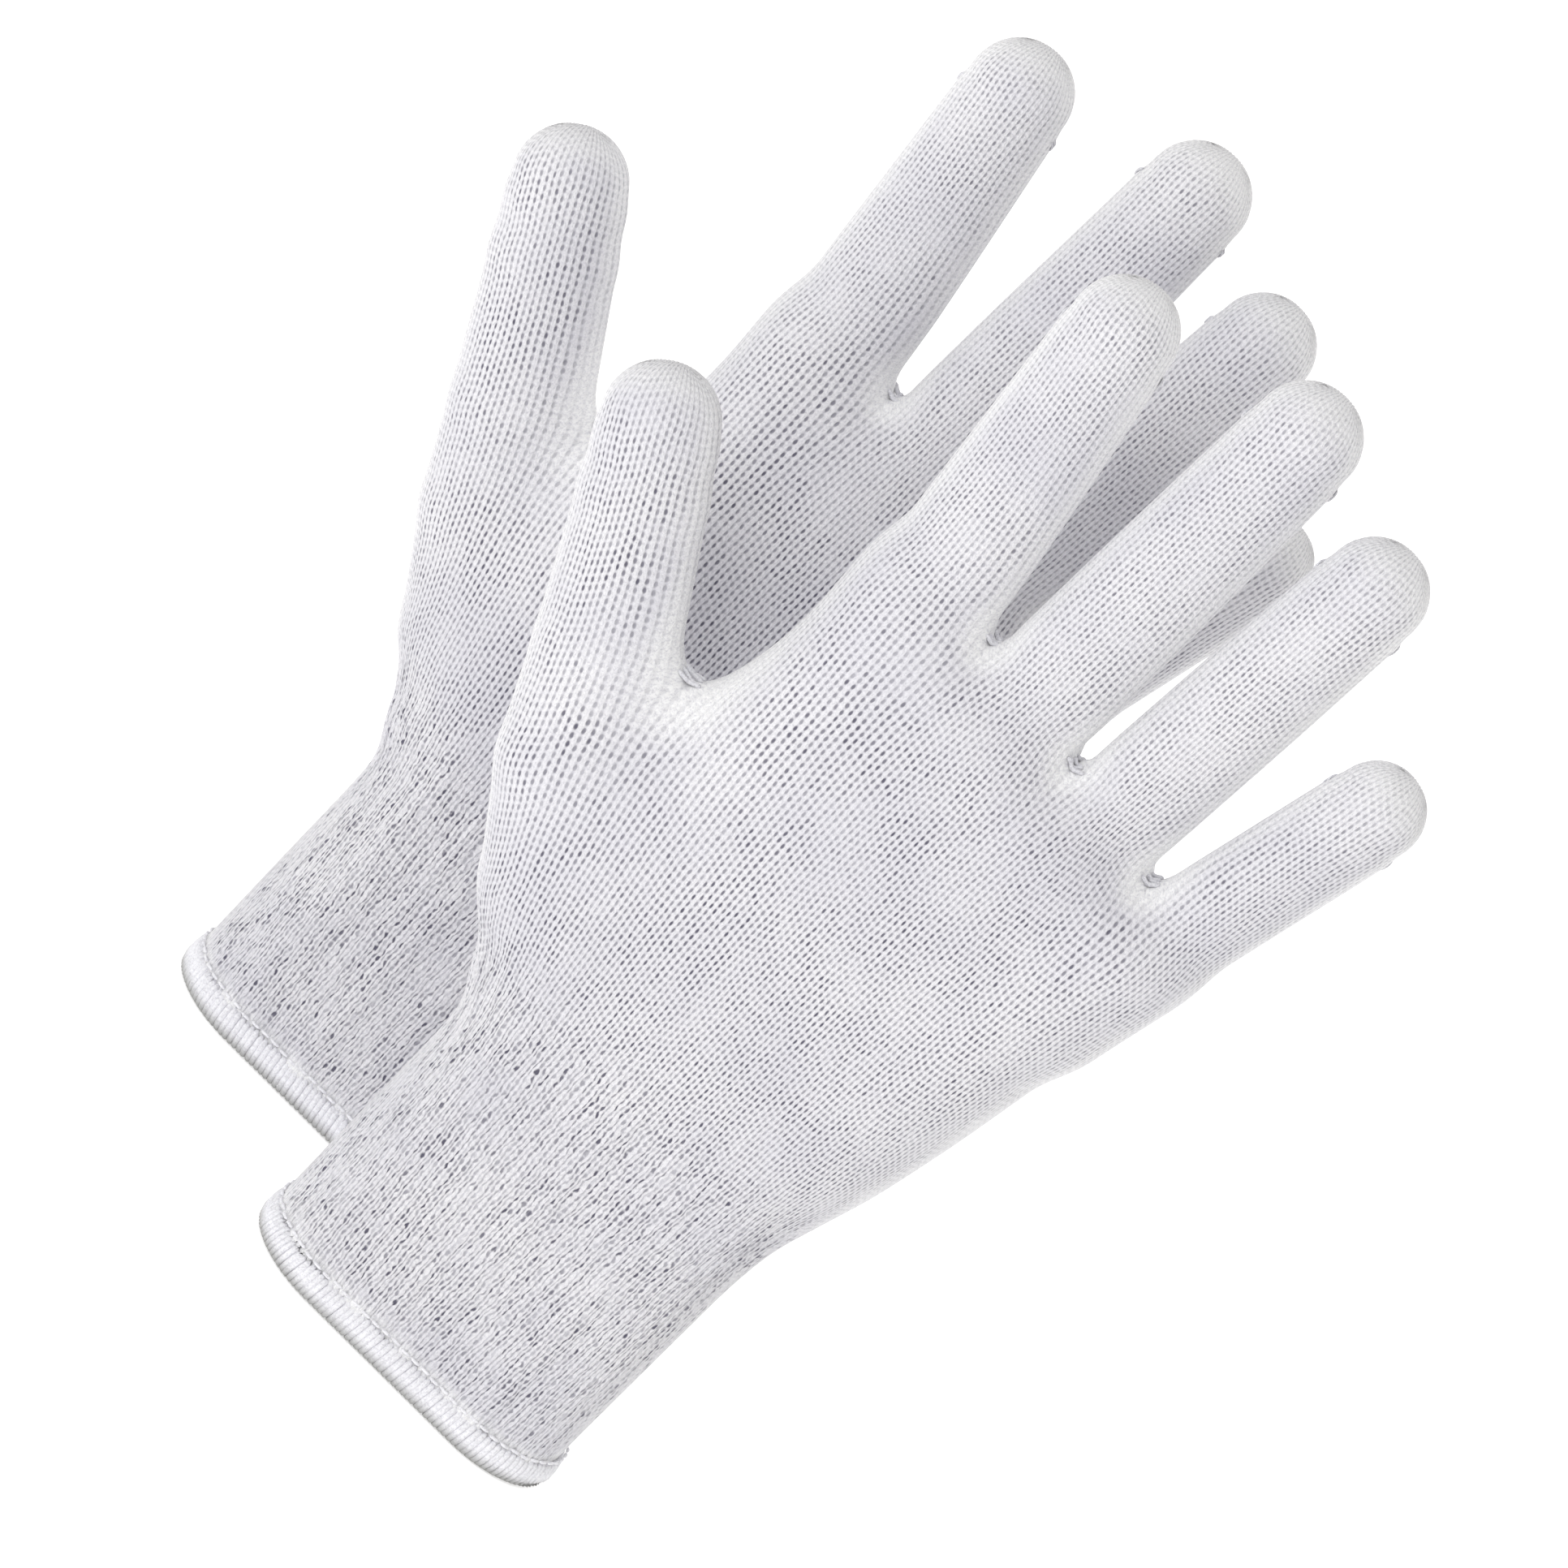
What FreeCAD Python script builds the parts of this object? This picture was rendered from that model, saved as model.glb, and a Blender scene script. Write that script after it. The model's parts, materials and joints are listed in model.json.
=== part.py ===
import FreeCAD
import Part
import Sketcher
import os

# A pair of seamless knitted cut resistant gloves, drawn filled, as on a hand, standing on their cuffs.
#
# Each glove is one knitted tube: a palm with five finger stalls, a rib cuff with elastic yarn laid in it,
# an overlocked hem and a tack of yarn at each crotch. The knitted tube is divided where a finger bends:
# a stall is a base tube and a closed tip, and the fabric over each finger joint is a sleeve of its own.
#
# The left glove is built first, with its palm towards -Y, X across the hand and Z along it. The origin is
# the middle of its cuff edge. The right glove is its mirror image, behind it and to one side.

VECTOR = FreeCAD.Vector

# Driving dimensions, in millimetres and degrees. Heights are above the cuff edge.
SIZES = {
    # fabric
    "palm_wall": 1.4,
    "rib_wall": 1.8,
    # rib cuff: a flat oval tube, the same all the way up
    "cuff_width": 67.0,
    "cuff_depth": 32.0,
    "cuff_top": 66.0,
    # overlocked hem, wrapped round the lower edge of the cuff
    "hem_height": 5.5,
    "hem_wrap": 0.8,
    "hem_under": 1.0,
    "hem_rounding": 0.5,
    "stitch_thread": 0.5,
    "stitch_gap": 0.7,
    # elastic yarn laid inside the cuff
    "elastic_yarn": 0.5,
    "elastic_pitch": 4.0,
    "elastic_lower_margin": 10.0,
    "elastic_upper_margin": 8.0,
    # palm sections, from the cuff up: rise above the section below, left edge, right edge and depth
    "wrist_rise": 12.0,
    "wrist_left": -40.0,
    "wrist_right": 39.5,
    "wrist_depth": 33.0,
    "heel_rise": 19.0,
    "heel_left": -44.0,
    "heel_right": 43.0,
    "heel_depth": 34.0,
    "middle_rise": 20.0,
    "middle_left": -46.5,
    "middle_right": 46.5,
    "middle_depth": 34.0,
    "upper_rise": 16.0,
    "upper_left": -41.0,
    "upper_right": 50.4,
    "upper_depth": 32.0,
    # the top of the palm slopes down from the index finger to the little finger
    "crest_rise": 27.0,
    "crest_left": -38.0,
    "crest_right": 55.0,
    "crest_depth": 25.0,
    "crest_slope": 12.3,
    # each finger: middle of its root and how far that is above the palm's top, how far the finger splays
    # towards the little finger, its outer radii, and its length from the root to the middle of its dome
    "index_x": -25.7,
    "index_lift": 4.0,
    "index_splay": -8.0,
    "index_root_radius": 11.2,
    "index_joint_radius": 10.4,
    "index_tip_radius": 9.7,
    "index_length": 51.0,
    "middle_x": 0.3,
    "middle_lift": 3.7,
    "middle_splay": 1.0,
    "middle_root_radius": 10.9,
    "middle_joint_radius": 10.3,
    "middle_tip_radius": 9.8,
    "middle_length": 65.4,
    "ring_x": 23.6,
    "ring_lift": 4.7,
    "ring_splay": 4.0,
    "ring_root_radius": 10.2,
    "ring_joint_radius": 9.8,
    "ring_tip_radius": 9.3,
    "ring_length": 59.0,
    "little_x": 45.5,
    "little_lift": 3.6,
    "little_splay": 12.5,
    "little_root_radius": 8.8,
    "little_joint_radius": 8.7,
    "little_tip_radius": 8.4,
    "little_length": 38.7,
    # the thumb's root is placed from the palm's middle section
    "thumb_x": -58.0,
    "thumb_lift": 0.5,
    "thumb_splay": -29.8,
    "thumb_root_radius": 12.6,
    "thumb_joint_radius": 11.3,
    "thumb_tip_radius": 10.4,
    "thumb_length": 41.4,
    # where the second joint is, from the root, on each finger
    "index_joint_at": 30.5,
    "middle_joint_at": 38.0,
    "ring_joint_at": 34.0,
    "little_joint_at": 25.0,
    "thumb_joint_at": 28.0,
    # how far each finger bends at its knuckle and at its second joint
    "finger_knuckle_bend": 70.0,
    "finger_joint_bend": 70.0,
    "thumb_knuckle_bend": 50.0,
    "thumb_joint_bend": 65.0,
    # the room left between the rigid pieces beside a joint when it is fully bent
    "bend_room": 0.6,
    # finger roots inside the palm: how far below its upper section they reach, and how much slimmer they
    # are down there, so that they leave the palm only through its top
    "stub_reach": 1.0,
    "stub_taper": 1.2,
    # the ball of the thumb, a swelling tube inside the palm: radius at each distance below the thumb's root
    "ball_upper_drop": 20.0,
    "ball_upper_radius": 14.0,
    "ball_lower_drop": 42.0,
    "ball_lower_radius": 12.0,
    "ball_end_drop": 56.0,
    "ball_end_radius": 5.0,
    # yarn tacks: the loop of yarn, and the thumb's tack from the middle of the thumb's root
    "tack_loop_radius": 2.3,
    "tack_yarn_radius": 0.65,
    "thumb_tack_across": 12.4,
    "thumb_tack_up": 3.1,
    "thumb_tack_slant": 35.0,
    # the right glove's place beside the left one
    "pair_shift": -43.0,
    "pair_gap": 60.0,
}
FINGERS = ("thumb", "index", "middle", "ring", "little")
PALM_SECTIONS = ("wrist", "heel", "middle", "upper", "crest")

doc = FreeCAD.newDocument("gloves")
sheet = doc.addObject("Spreadsheet::Sheet", "Sizes")


def fill_sheet():
    for row, (alias, value) in enumerate(SIZES.items(), start=1):
        sheet.set(f"A{row}", alias)
        sheet.set(f"B{row}", str(value))
        sheet.setAlias(f"B{row}", alias)
    doc.recompute()


def size(alias):
    """The cell's name in an expression."""
    return f"Sizes.{alias}"


def value_of(expression):
    """What an expression comes to, as a plain number."""
    found = sheet.evalExpression(expression)
    return float(getattr(found, "Value", found))


def bind(thing, **expressions):
    """Binds properties, named with __ for a dot, to expressions of the sheet's cells."""
    for name, expression in expressions.items():
        thing.setExpression(name.replace("__", "."), expression)


def place(thing, x="0", z="0", splay="0"):
    """Puts an object at x, z of the glove, turned about Y by splay degrees, all bound to the sheet."""
    thing.Placement = FreeCAD.Placement(VECTOR(0, 0, 0), FreeCAD.Rotation(VECTOR(0, 1, 0), 1))
    bind(thing, Placement__Base__x=x, Placement__Base__z=z)
    if splay == "0":
        thing.Placement = FreeCAD.Placement(thing.Placement.Base, FreeCAD.Rotation())
    else:
        bind(thing, Placement__Rotation__Angle=f"({splay}) * 1 deg")


# Heights on the palm ----------------------------------------------------------------------------------


def section_height(level):
    """A palm section's height: the cuff's top and every rise up to that section."""
    rises = PALM_SECTIONS[: PALM_SECTIONS.index(level) + 1]
    return "(" + " + ".join([size("cuff_top"), *(size(f"{rise}_rise") for rise in rises)]) + ")"


def crest_height(x):
    """The height of the palm's sloping top at x."""
    middle = f"({size('crest_left')} + {size('crest_right')}) / 2"
    return f"({section_height('crest')} - (({x}) - {middle}) * tan({size('crest_slope')} * 1 deg))"


def root_height(finger):
    x = size(f"{finger}_x")
    below = section_height("middle") if finger == "thumb" else crest_height(x)
    return f"({below} + {size(f'{finger}_lift')})"


# Sketch helpers ---------------------------------------------------------------------------------------


def fix(sketch, geometry, point, x=None, y=None):
    """Holds a point of a sketch's geometry at x and y, given as expressions. A "0" puts it on the axis."""
    for kind, expression, axis in (("DistanceX", x, -2), ("DistanceY", y, -1)):
        if expression is None:
            continue
        if expression == "0":
            sketch.addConstraint(Sketcher.Constraint("PointOnObject", geometry, point, axis))
            continue
        distance = value_of(expression)
        held = sketch.addConstraint(Sketcher.Constraint(kind, -1, 1, geometry, point, distance))
        sketch.setExpression(f"Constraints[{held}]", expression)


def meet(sketch, first, first_point, second, second_point, kind="Coincident"):
    sketch.addConstraint(Sketcher.Constraint(kind, first, first_point, second, second_point))


def line(sketch, start, end):
    return sketch.addGeometry(Part.LineSegment(VECTOR(*start, 0), VECTOR(*end, 0)), False)


def quarter(sketch, height, radius):
    """A quarter circle about (0, height), from its right end up to the axis."""
    circle = Part.Circle(VECTOR(0, height, 0), VECTOR(0, 0, 1), radius)
    return sketch.addGeometry(Part.ArcOfCircle(circle, 0, 1.5707963), False)


def oval(sketch, width, depth):
    """A flat oval about the origin: two straight sides and two half circles. Sizes are expressions."""
    radius = value_of(f"({depth}) / 2")
    reach = value_of(f"({width}) / 2") - radius
    normal = VECTOR(0, 0, 1)
    front = line(sketch, (-reach, -radius), (reach, -radius))
    right = sketch.addGeometry(
        Part.ArcOfCircle(Part.Circle(VECTOR(reach, 0, 0), normal, radius), -1.5707963, 1.5707963), False
    )
    back = line(sketch, (reach, radius), (-reach, radius))
    left = sketch.addGeometry(
        Part.ArcOfCircle(Part.Circle(VECTOR(-reach, 0, 0), normal, radius), 1.5707963, 4.7123890), False
    )
    for first, second in ((front, right), (right, back), (back, left), (left, front)):
        meet(sketch, first, 2, second, 1, "Tangent")
    sketch.addConstraint(Sketcher.Constraint("Horizontal", front))
    fix(sketch, right, 3, f"(({width}) - ({depth})) / 2", "0")
    fix(sketch, left, 3, f"(({depth}) - ({width})) / 2", "0")
    held = sketch.addConstraint(Sketcher.Constraint("Radius", right, radius))
    sketch.setExpression(f"Constraints[{held}]", f"({depth}) / 2")


def origin_plane(body, role):
    return next(plane for plane in body.Origin.OriginFeatures if plane.Role == role)


def new_body(label):
    body = doc.addObject("PartDesign::Body", label)
    body.Label = label
    return body


def body_sketch(body, name, role="XY_Plane", height="0"):
    sketch = body.newObject("Sketcher::SketchObject", name)
    sketch.AttachmentSupport = [(origin_plane(body, role), "")]
    sketch.MapMode = "FlatFace"
    if height != "0":
        bind(sketch, AttachmentOffset__Base__z=height)
    return sketch


def pad(body, sketch, name, length):
    feature = body.newObject("PartDesign::Pad", name)
    feature.Profile = sketch
    bind(feature, Length=length)
    sketch.Visibility = False
    return feature


def oval_ring(body, name, width, depth, wall, height="0"):
    """A sketch of two ovals, the inner one smaller by the wall."""
    sketch = body_sketch(body, name, height=height)
    oval(sketch, width, depth)
    oval(sketch, f"({width}) - 2 * ({wall})", f"({depth}) - 2 * ({wall})")
    return sketch


# Cuff and hem -----------------------------------------------------------------------------------------


def rib_cuff():
    body = new_body("left_rib_cuff")
    ring = oval_ring(body, "cuff_ring", size("cuff_width"), size("cuff_depth"), size("rib_wall"), size("hem_under"))
    pad(body, ring, "cuff_wall", f"{size('cuff_top')} - {size('hem_under')}")
    return body


def hem_overlock():
    """A band of sewing thread wrapped round the cuff's lower edge, inside and out."""
    body = new_body("left_hem_overlock")
    wrap = f"2 * {size('hem_wrap')}"
    ring = oval_ring(
        body,
        "hem_ring",
        f"{size('cuff_width')} + {wrap}",
        f"{size('cuff_depth')} + {wrap}",
        f"{size('rib_wall')} + {wrap}",
    )
    band = pad(body, ring, "hem_band", size("hem_height"))
    doc.recompute()
    solid_volume = band.Shape.Volume
    groove = oval_ring(
        body, "cuff_groove_ring", size("cuff_width"), size("cuff_depth"), size("rib_wall"), size("hem_height")
    )
    pocket = body.newObject("PartDesign::Pocket", "cuff_groove")
    pocket.Profile = groove
    bind(pocket, Length=f"{size('hem_height')} - {size('hem_under')}")
    doc.recompute()
    if pocket.Shape.Volume >= solid_volume:
        raise RuntimeError("the hem's groove cut nothing")
    rounded = body.newObject("PartDesign::Fillet", "hem_rounding")
    rounded.Base = (pocket, lowest_edges(pocket.Shape))
    bind(rounded, Radius=size("hem_rounding"))
    return body


def lowest_edges(shape):
    """The names of the edges that lie in the shape's bottom plane."""
    bottom = shape.BoundBox.ZMin
    return [
        f"Edge{number}"
        for number, edge in enumerate(shape.Edges, start=1)
        if abs(edge.BoundBox.ZMax - bottom) < 1e-6
    ]


def hem_stitch():
    """The line of sewing thread that runs round the cuff just above the hem."""
    body = new_body("left_hem_stitch")
    thread = size("stitch_thread")
    ring = oval_ring(
        body,
        "stitch_ring",
        f"{size('cuff_width')} + 2 * {thread}",
        f"{size('cuff_depth')} + 2 * {thread}",
        thread,
        f"{size('hem_height')} + {size('stitch_gap')}",
    )
    pad(body, ring, "stitch_line", thread)
    return body


def cuff_elastic():
    """Rows of covered elastic yarn that lie against the inside of the cuff."""
    body = new_body("left_cuff_elastic")
    body.AllowCompound = True
    yarn = size("elastic_yarn")
    inside = f"2 * {size('rib_wall')}"
    ring = oval_ring(
        body,
        "elastic_ring",
        f"{size('cuff_width')} - {inside}",
        f"{size('cuff_depth')} - {inside}",
        yarn,
        size("elastic_lower_margin"),
    )
    row = pad(body, ring, "elastic_row", yarn)
    spaces = "floor(({}) / {})".format(
        " - ".join(size(name) for name in ("cuff_top", "elastic_lower_margin", "elastic_upper_margin")),
        size("elastic_pitch"),
    )
    rows = body.newObject("PartDesign::LinearPattern", "elastic_rows")
    rows.Originals = [row]
    rows.Direction = (ring, ["N_Axis"])
    bind(rows, Occurrences=f"{spaces} + 1", Length=f"{size('elastic_pitch')} * {spaces}")
    body.Tip = rows
    return body


# Palm -------------------------------------------------------------------------------------------------


def palm_section(name, height, left, right, depth, inset, slope="0"):
    """A flat oval across the palm, from left to right, drawn in by the inset all round."""
    sketch = doc.addObject("Sketcher::SketchObject", name)
    oval(sketch, f"{right} - ({left}) - 2 * ({inset})", f"{depth} - 2 * ({inset})")
    place(sketch, f"(({left}) + ({right})) / 2", height, slope)
    return sketch


def palm_block(name, inset):
    """The palm without its fingers, as a loft of flat ovals."""
    half_cuff = f"{size('cuff_width')} / 2"
    sections = [
        palm_section(
            f"{name}_cuff_section", size("cuff_top"), f"-{half_cuff}", half_cuff, size("cuff_depth"), inset
        )
    ]
    for level in PALM_SECTIONS:
        crest = level == "crest"
        sections.append(
            palm_section(
                f"{name}_{level}_section",
                f"{section_height(level)} - ({inset if crest else '0'})",
                size(f"{level}_left"),
                size(f"{level}_right"),
                size(f"{level}_depth"),
                inset,
                size("crest_slope") if crest else "0",
            )
        )
    loft = doc.addObject("Part::Loft", f"{name}_block")
    loft.Sections = sections
    loft.Solid = True
    return loft


def along(finger, distance):
    """Placement expressions of the point that far up a finger's middle line from its root."""
    splay = size(f"{finger}_splay")
    return {
        "x": f"{size(f'{finger}_x')} + ({distance}) * sin({splay} * 1 deg)",
        "z": f"{root_height(finger)} + ({distance}) * cos({splay} * 1 deg)",
        "splay": splay,
    }


def finger_stub(name, finger, inset):
    """The tapered root of a finger, from inside the palm up to the finger's root."""
    stub = doc.addObject("Part::Cone", f"{name}_{finger}_stub")
    root = f"{size(f'{finger}_root_radius')} - ({inset})"
    depth = f"({size('crest_rise')} + {size('stub_reach')})"
    bind(stub, Radius1=f"{root} - {size('stub_taper')}", Radius2=root, Height=depth)
    place(stub, **along(finger, f"-{depth}"))
    return stub


def thumb_ball(name, inset):
    """The ball of the thumb: a tube that swells and then closes inside the palm."""
    rings = [("0", size("thumb_root_radius"))] + [
        (f"-{size(f'ball_{level}_drop')}", size(f"ball_{level}_radius")) for level in ("upper", "lower", "end")
    ]
    circles = []
    for number, (distance, radius) in enumerate(rings):
        circle = doc.addObject("Part::Circle", f"{name}_ball_ring{number}")
        bind(circle, Radius=f"{radius} - ({inset})")
        place(circle, **along("thumb", distance))
        circles.append(circle)
    loft = doc.addObject("Part::Loft", f"{name}_thumb_ball")
    loft.Sections = circles
    loft.Solid = True
    return loft


def palm_solid(name, inset):
    solid = doc.addObject("Part::MultiFuse", name)
    stubs = [finger_stub(name, finger, inset) for finger in FINGERS if finger != "thumb"]
    solid.Shapes = [palm_block(name, inset), thumb_ball(name, inset), *stubs]
    return solid


def palm():
    shell = doc.addObject("Part::Cut", "left_palm")
    shell.Base = palm_solid("palm_outside", "0")
    shell.Tool = palm_solid("palm_inside", size("palm_wall"))
    shell.Label = "left_palm"
    return shell


def tack(name, x, z, slant):
    """A loop of yarn that stands across the palm's thickness, half above the fabric and half below."""
    loop = doc.addObject("Part::Torus", f"{name}_tack")
    bind(loop, Radius1=size("tack_loop_radius"), Radius2=size("tack_yarn_radius"))
    place(loop, x, z, slant)
    return loop


def crotch_tacks():
    """A loop of yarn sewn through the fabric at each crotch."""
    loops = []
    for finger, neighbour in zip(FINGERS[1:], FINGERS[2:]):
        x = f"({size(f'{finger}_x')} + {size(f'{neighbour}_x')}) / 2"
        loops.append(tack(f"{finger}_{neighbour}", x, crest_height(x), "90"))
    loops.append(
        tack(
            "thumb_index",
            f"{size('thumb_x')} + {size('thumb_tack_across')}",
            f"{root_height('thumb')} + {size('thumb_tack_up')}",
            f"90 - {size('thumb_tack_slant')}",
        )
    )
    group = doc.addObject("Part::Compound", "left_crotch_tacks")
    group.Links = loops
    group.Label = "left_crotch_tacks"
    return group


# Finger stalls ----------------------------------------------------------------------------------------


def revolve(body, sketch):
    turned = body.newObject("PartDesign::Revolution", f"{body.Name}_wall")
    turned.Profile = sketch
    turned.ReferenceAxis = (sketch, ["V_Axis"])
    turned.Angle = 360
    sketch.Visibility = False


def tube(label, lower_radius, upper_radius, length):
    """An open tapered tube of palm fabric about Z. Radii are of its outside."""
    body = new_body(label)
    sketch = body_sketch(body, f"{label}_profile", "XZ_Plane")
    wall = size("palm_wall")
    corners = [
        (f"{lower_radius} - {wall}", "0"),
        (lower_radius, "0"),
        (upper_radius, length),
        (f"{upper_radius} - {wall}", length),
    ]
    points = [(value_of(x), value_of(y)) for x, y in corners]
    sides = [line(sketch, points[k], points[(k + 1) % 4]) for k in range(4)]
    for number, side in enumerate(sides):
        meet(sketch, side, 2, sides[(number + 1) % 4], 1)
        fix(sketch, side, 1, *corners[number])
    revolve(body, sketch)
    return body


def capped_tube(label, lower_radius, upper_radius, length):
    """A tapered tube of palm fabric about Z with a domed top."""
    body = new_body(label)
    sketch = body_sketch(body, f"{label}_profile", "XZ_Plane")
    wall = size("palm_wall")
    low, high, rise, thick = (value_of(x) for x in (lower_radius, upper_radius, length, wall))
    mouth = line(sketch, (low - thick, 0), (low, 0))
    outside = line(sketch, (low, 0), (high, rise))
    dome = quarter(sketch, rise, high)
    top = line(sketch, (0, rise + high), (0, rise + high - thick))
    ceiling = quarter(sketch, rise, high - thick)
    inside = line(sketch, (high - thick, rise), (low - thick, 0))
    meet(sketch, mouth, 2, outside, 1)
    meet(sketch, outside, 2, dome, 1)
    meet(sketch, dome, 2, top, 1)
    meet(sketch, top, 2, ceiling, 2)
    meet(sketch, ceiling, 1, inside, 1)
    meet(sketch, inside, 2, mouth, 1)
    meet(sketch, dome, 3, ceiling, 3)
    fix(sketch, mouth, 1, f"{lower_radius} - {wall}", "0")
    fix(sketch, mouth, 2, lower_radius, "0")
    fix(sketch, outside, 2, upper_radius, length)
    fix(sketch, inside, 1, f"{upper_radius} - {wall}", length)
    fix(sketch, dome, 3, "0", length)
    fix(sketch, top, 1, "0")
    fix(sketch, top, 2, "0")
    revolve(body, sketch)
    return body


def bend_reach(finger, part, radius):
    """How far a sleeve reaches each side of its joint, so that the tubes beside it miss each other."""
    digit = "thumb" if finger == "thumb" else "finger"
    return f"({radius} * tan({size(f'{digit}_{part}_bend')} * 0.5 deg) + {size('bend_room')})"


def radius_between(low_radius, high_radius, at, whole):
    return f"({low_radius} + ({high_radius} - {low_radius}) * ({at}) / ({whole}))"


def finger_stall(finger):
    """A finger from its root up: a sleeve over the knuckle, a base tube, a sleeve over the joint, the tip."""
    root, joint, tip = (size(f"{finger}_{part}_radius") for part in ("root", "joint", "tip"))
    joint_at = size(f"{finger}_joint_at")
    length = size(f"{finger}_length")
    knuckle_end = f"2 * {bend_reach(finger, 'knuckle', root)}"
    joint_start = f"{joint_at} - {bend_reach(finger, 'joint', joint)}"
    joint_end = f"{joint_at} + {bend_reach(finger, 'joint', joint)}"

    def outside(at):
        """The outer radius at a distance from the root, below or above the joint."""
        if at == joint_end:
            return radius_between(joint, tip, f"{at} - {joint_at}", f"{length} - {joint_at}")
        return radius_between(root, joint, at, joint_at)

    pieces = [
        (tube, "knuckle", "0", knuckle_end, root, outside(knuckle_end)),
        (tube, "base", knuckle_end, joint_start, outside(knuckle_end), outside(joint_start)),
        (tube, "joint", joint_start, joint_end, outside(joint_start), outside(joint_end)),
        (capped_tube, "tip", joint_end, length, outside(joint_end), tip),
    ]
    made = []
    for shape, part, start, end, low, high in pieces:
        body = shape(f"left_{finger}_{part}", low, high, f"({end}) - ({start})")
        place(body, **along(finger, start))
        made.append(body)
    return made


# The pair ---------------------------------------------------------------------------------------------


def right_copy(left):
    """The same piece of the right glove: the mirror image in the XZ plane, moved back and to the left."""
    label = left.Label.replace("left_", "right_", 1)
    copy = doc.addObject("Part::Mirroring", label)
    copy.Label = label
    copy.Source = left
    copy.Normal = VECTOR(0, 1, 0)
    bind(copy, Placement__Base__x=size("pair_shift"), Placement__Base__y=size("pair_gap"))
    return copy


def left_glove():
    pieces = [rib_cuff(), hem_overlock(), hem_stitch(), cuff_elastic(), palm(), crotch_tacks()]
    for finger in FINGERS:
        pieces.extend(finger_stall(finger))
    return pieces


def check(pieces):
    """Stops if any object failed to build or any piece isn't a sound solid."""
    for thing in doc.Objects:
        if {"Invalid", "Error"} & set(thing.State):
            raise RuntimeError(f"{thing.Label} failed: {thing.State}")
    for piece in pieces:
        shape = piece.Shape
        if shape.isNull() or not shape.isValid() or not shape.Solids:
            raise RuntimeError(f"{piece.Label} isn't a sound solid")


def main():
    fill_sheet()
    left = left_glove()
    doc.recompute()
    pieces = left + [right_copy(piece) for piece in left]
    doc.recompute()
    check(pieces)
    os.makedirs("parts", exist_ok=True)
    for piece in pieces:
        piece.Shape.exportStep(f"parts/{piece.Label}.step")
        print(piece.Label, len(piece.Shape.Solids), round(piece.Shape.Volume, 1))


main()
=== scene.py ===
import json
import math

import bpy
import numpy as np
from mathutils import Matrix, Vector


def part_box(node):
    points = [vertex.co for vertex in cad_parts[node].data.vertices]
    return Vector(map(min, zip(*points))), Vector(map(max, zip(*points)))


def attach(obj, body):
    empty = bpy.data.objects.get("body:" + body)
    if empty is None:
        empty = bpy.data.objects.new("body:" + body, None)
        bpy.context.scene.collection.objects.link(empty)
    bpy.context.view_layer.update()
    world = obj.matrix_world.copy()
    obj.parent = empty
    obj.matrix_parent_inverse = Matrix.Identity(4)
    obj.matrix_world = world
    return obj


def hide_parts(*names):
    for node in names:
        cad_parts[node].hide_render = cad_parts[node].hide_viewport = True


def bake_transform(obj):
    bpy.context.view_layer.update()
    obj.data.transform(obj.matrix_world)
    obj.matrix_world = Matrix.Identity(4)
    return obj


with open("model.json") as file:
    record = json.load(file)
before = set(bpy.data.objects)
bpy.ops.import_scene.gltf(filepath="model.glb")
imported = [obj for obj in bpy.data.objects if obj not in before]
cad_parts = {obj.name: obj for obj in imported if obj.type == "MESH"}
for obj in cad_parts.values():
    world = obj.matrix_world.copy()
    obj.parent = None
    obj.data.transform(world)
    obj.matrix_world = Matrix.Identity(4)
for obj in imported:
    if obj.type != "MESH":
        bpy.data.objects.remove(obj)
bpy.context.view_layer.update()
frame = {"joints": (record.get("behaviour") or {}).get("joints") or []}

# Both gloves are one shape. The left glove is worked out in millimetres, with the middle of its cuff edge at
# the origin, its palm towards -Y and its fingers along +Z. The right glove is its mirror image, behind it.
MM = 0.001
SIDES = ("left", "right")
FINGERS = ("thumb", "index", "middle", "ring", "little")
FRONT = 0  # the palm face of the knit
BACK = 1

# ---------------------------------------------------------------------------------------------------------
# Sizes, in millimetres
# ---------------------------------------------------------------------------------------------------------

# A digit's outer radius at its knuckle, at its second joint and at the middle of its round end
DIGIT_RADII = {
    "thumb": (12.4, 11.3, 10.3),
    "index": (11.1, 10.4, 9.6),
    "middle": (10.8, 10.3, 9.7),
    "ring": (10.1, 9.8, 9.2),
    "little": (8.8, 8.7, 8.3),
}
TIP_SHOULDER = 4.0  # how far below the round end's middle the tip starts to narrow
SHOULDER_SWELL = 0.35
FINGER_DEPTH = 34.0  # how far below its knuckle a finger's middle line goes on inside the palm

# How far before and after its knuckle hinge a digit's knit bends, and how far each side of its second hinge
KNUCKLE_BEND = {
    "thumb": (6.4, 9.5),
    "index": (8.3, 10.5),
    "middle": (8.1, 10.5),
    "ring": (7.6, 10.5),
    "little": (6.7, 9.0),
}
JOINT_BEND = {"thumb": 9.6, "index": 10.8, "middle": 10.8, "ring": 10.2, "little": 8.8}

CUFF_HALF_WIDTH = 33.2
CUFF_HALF_DEPTH = 16.0

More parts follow.
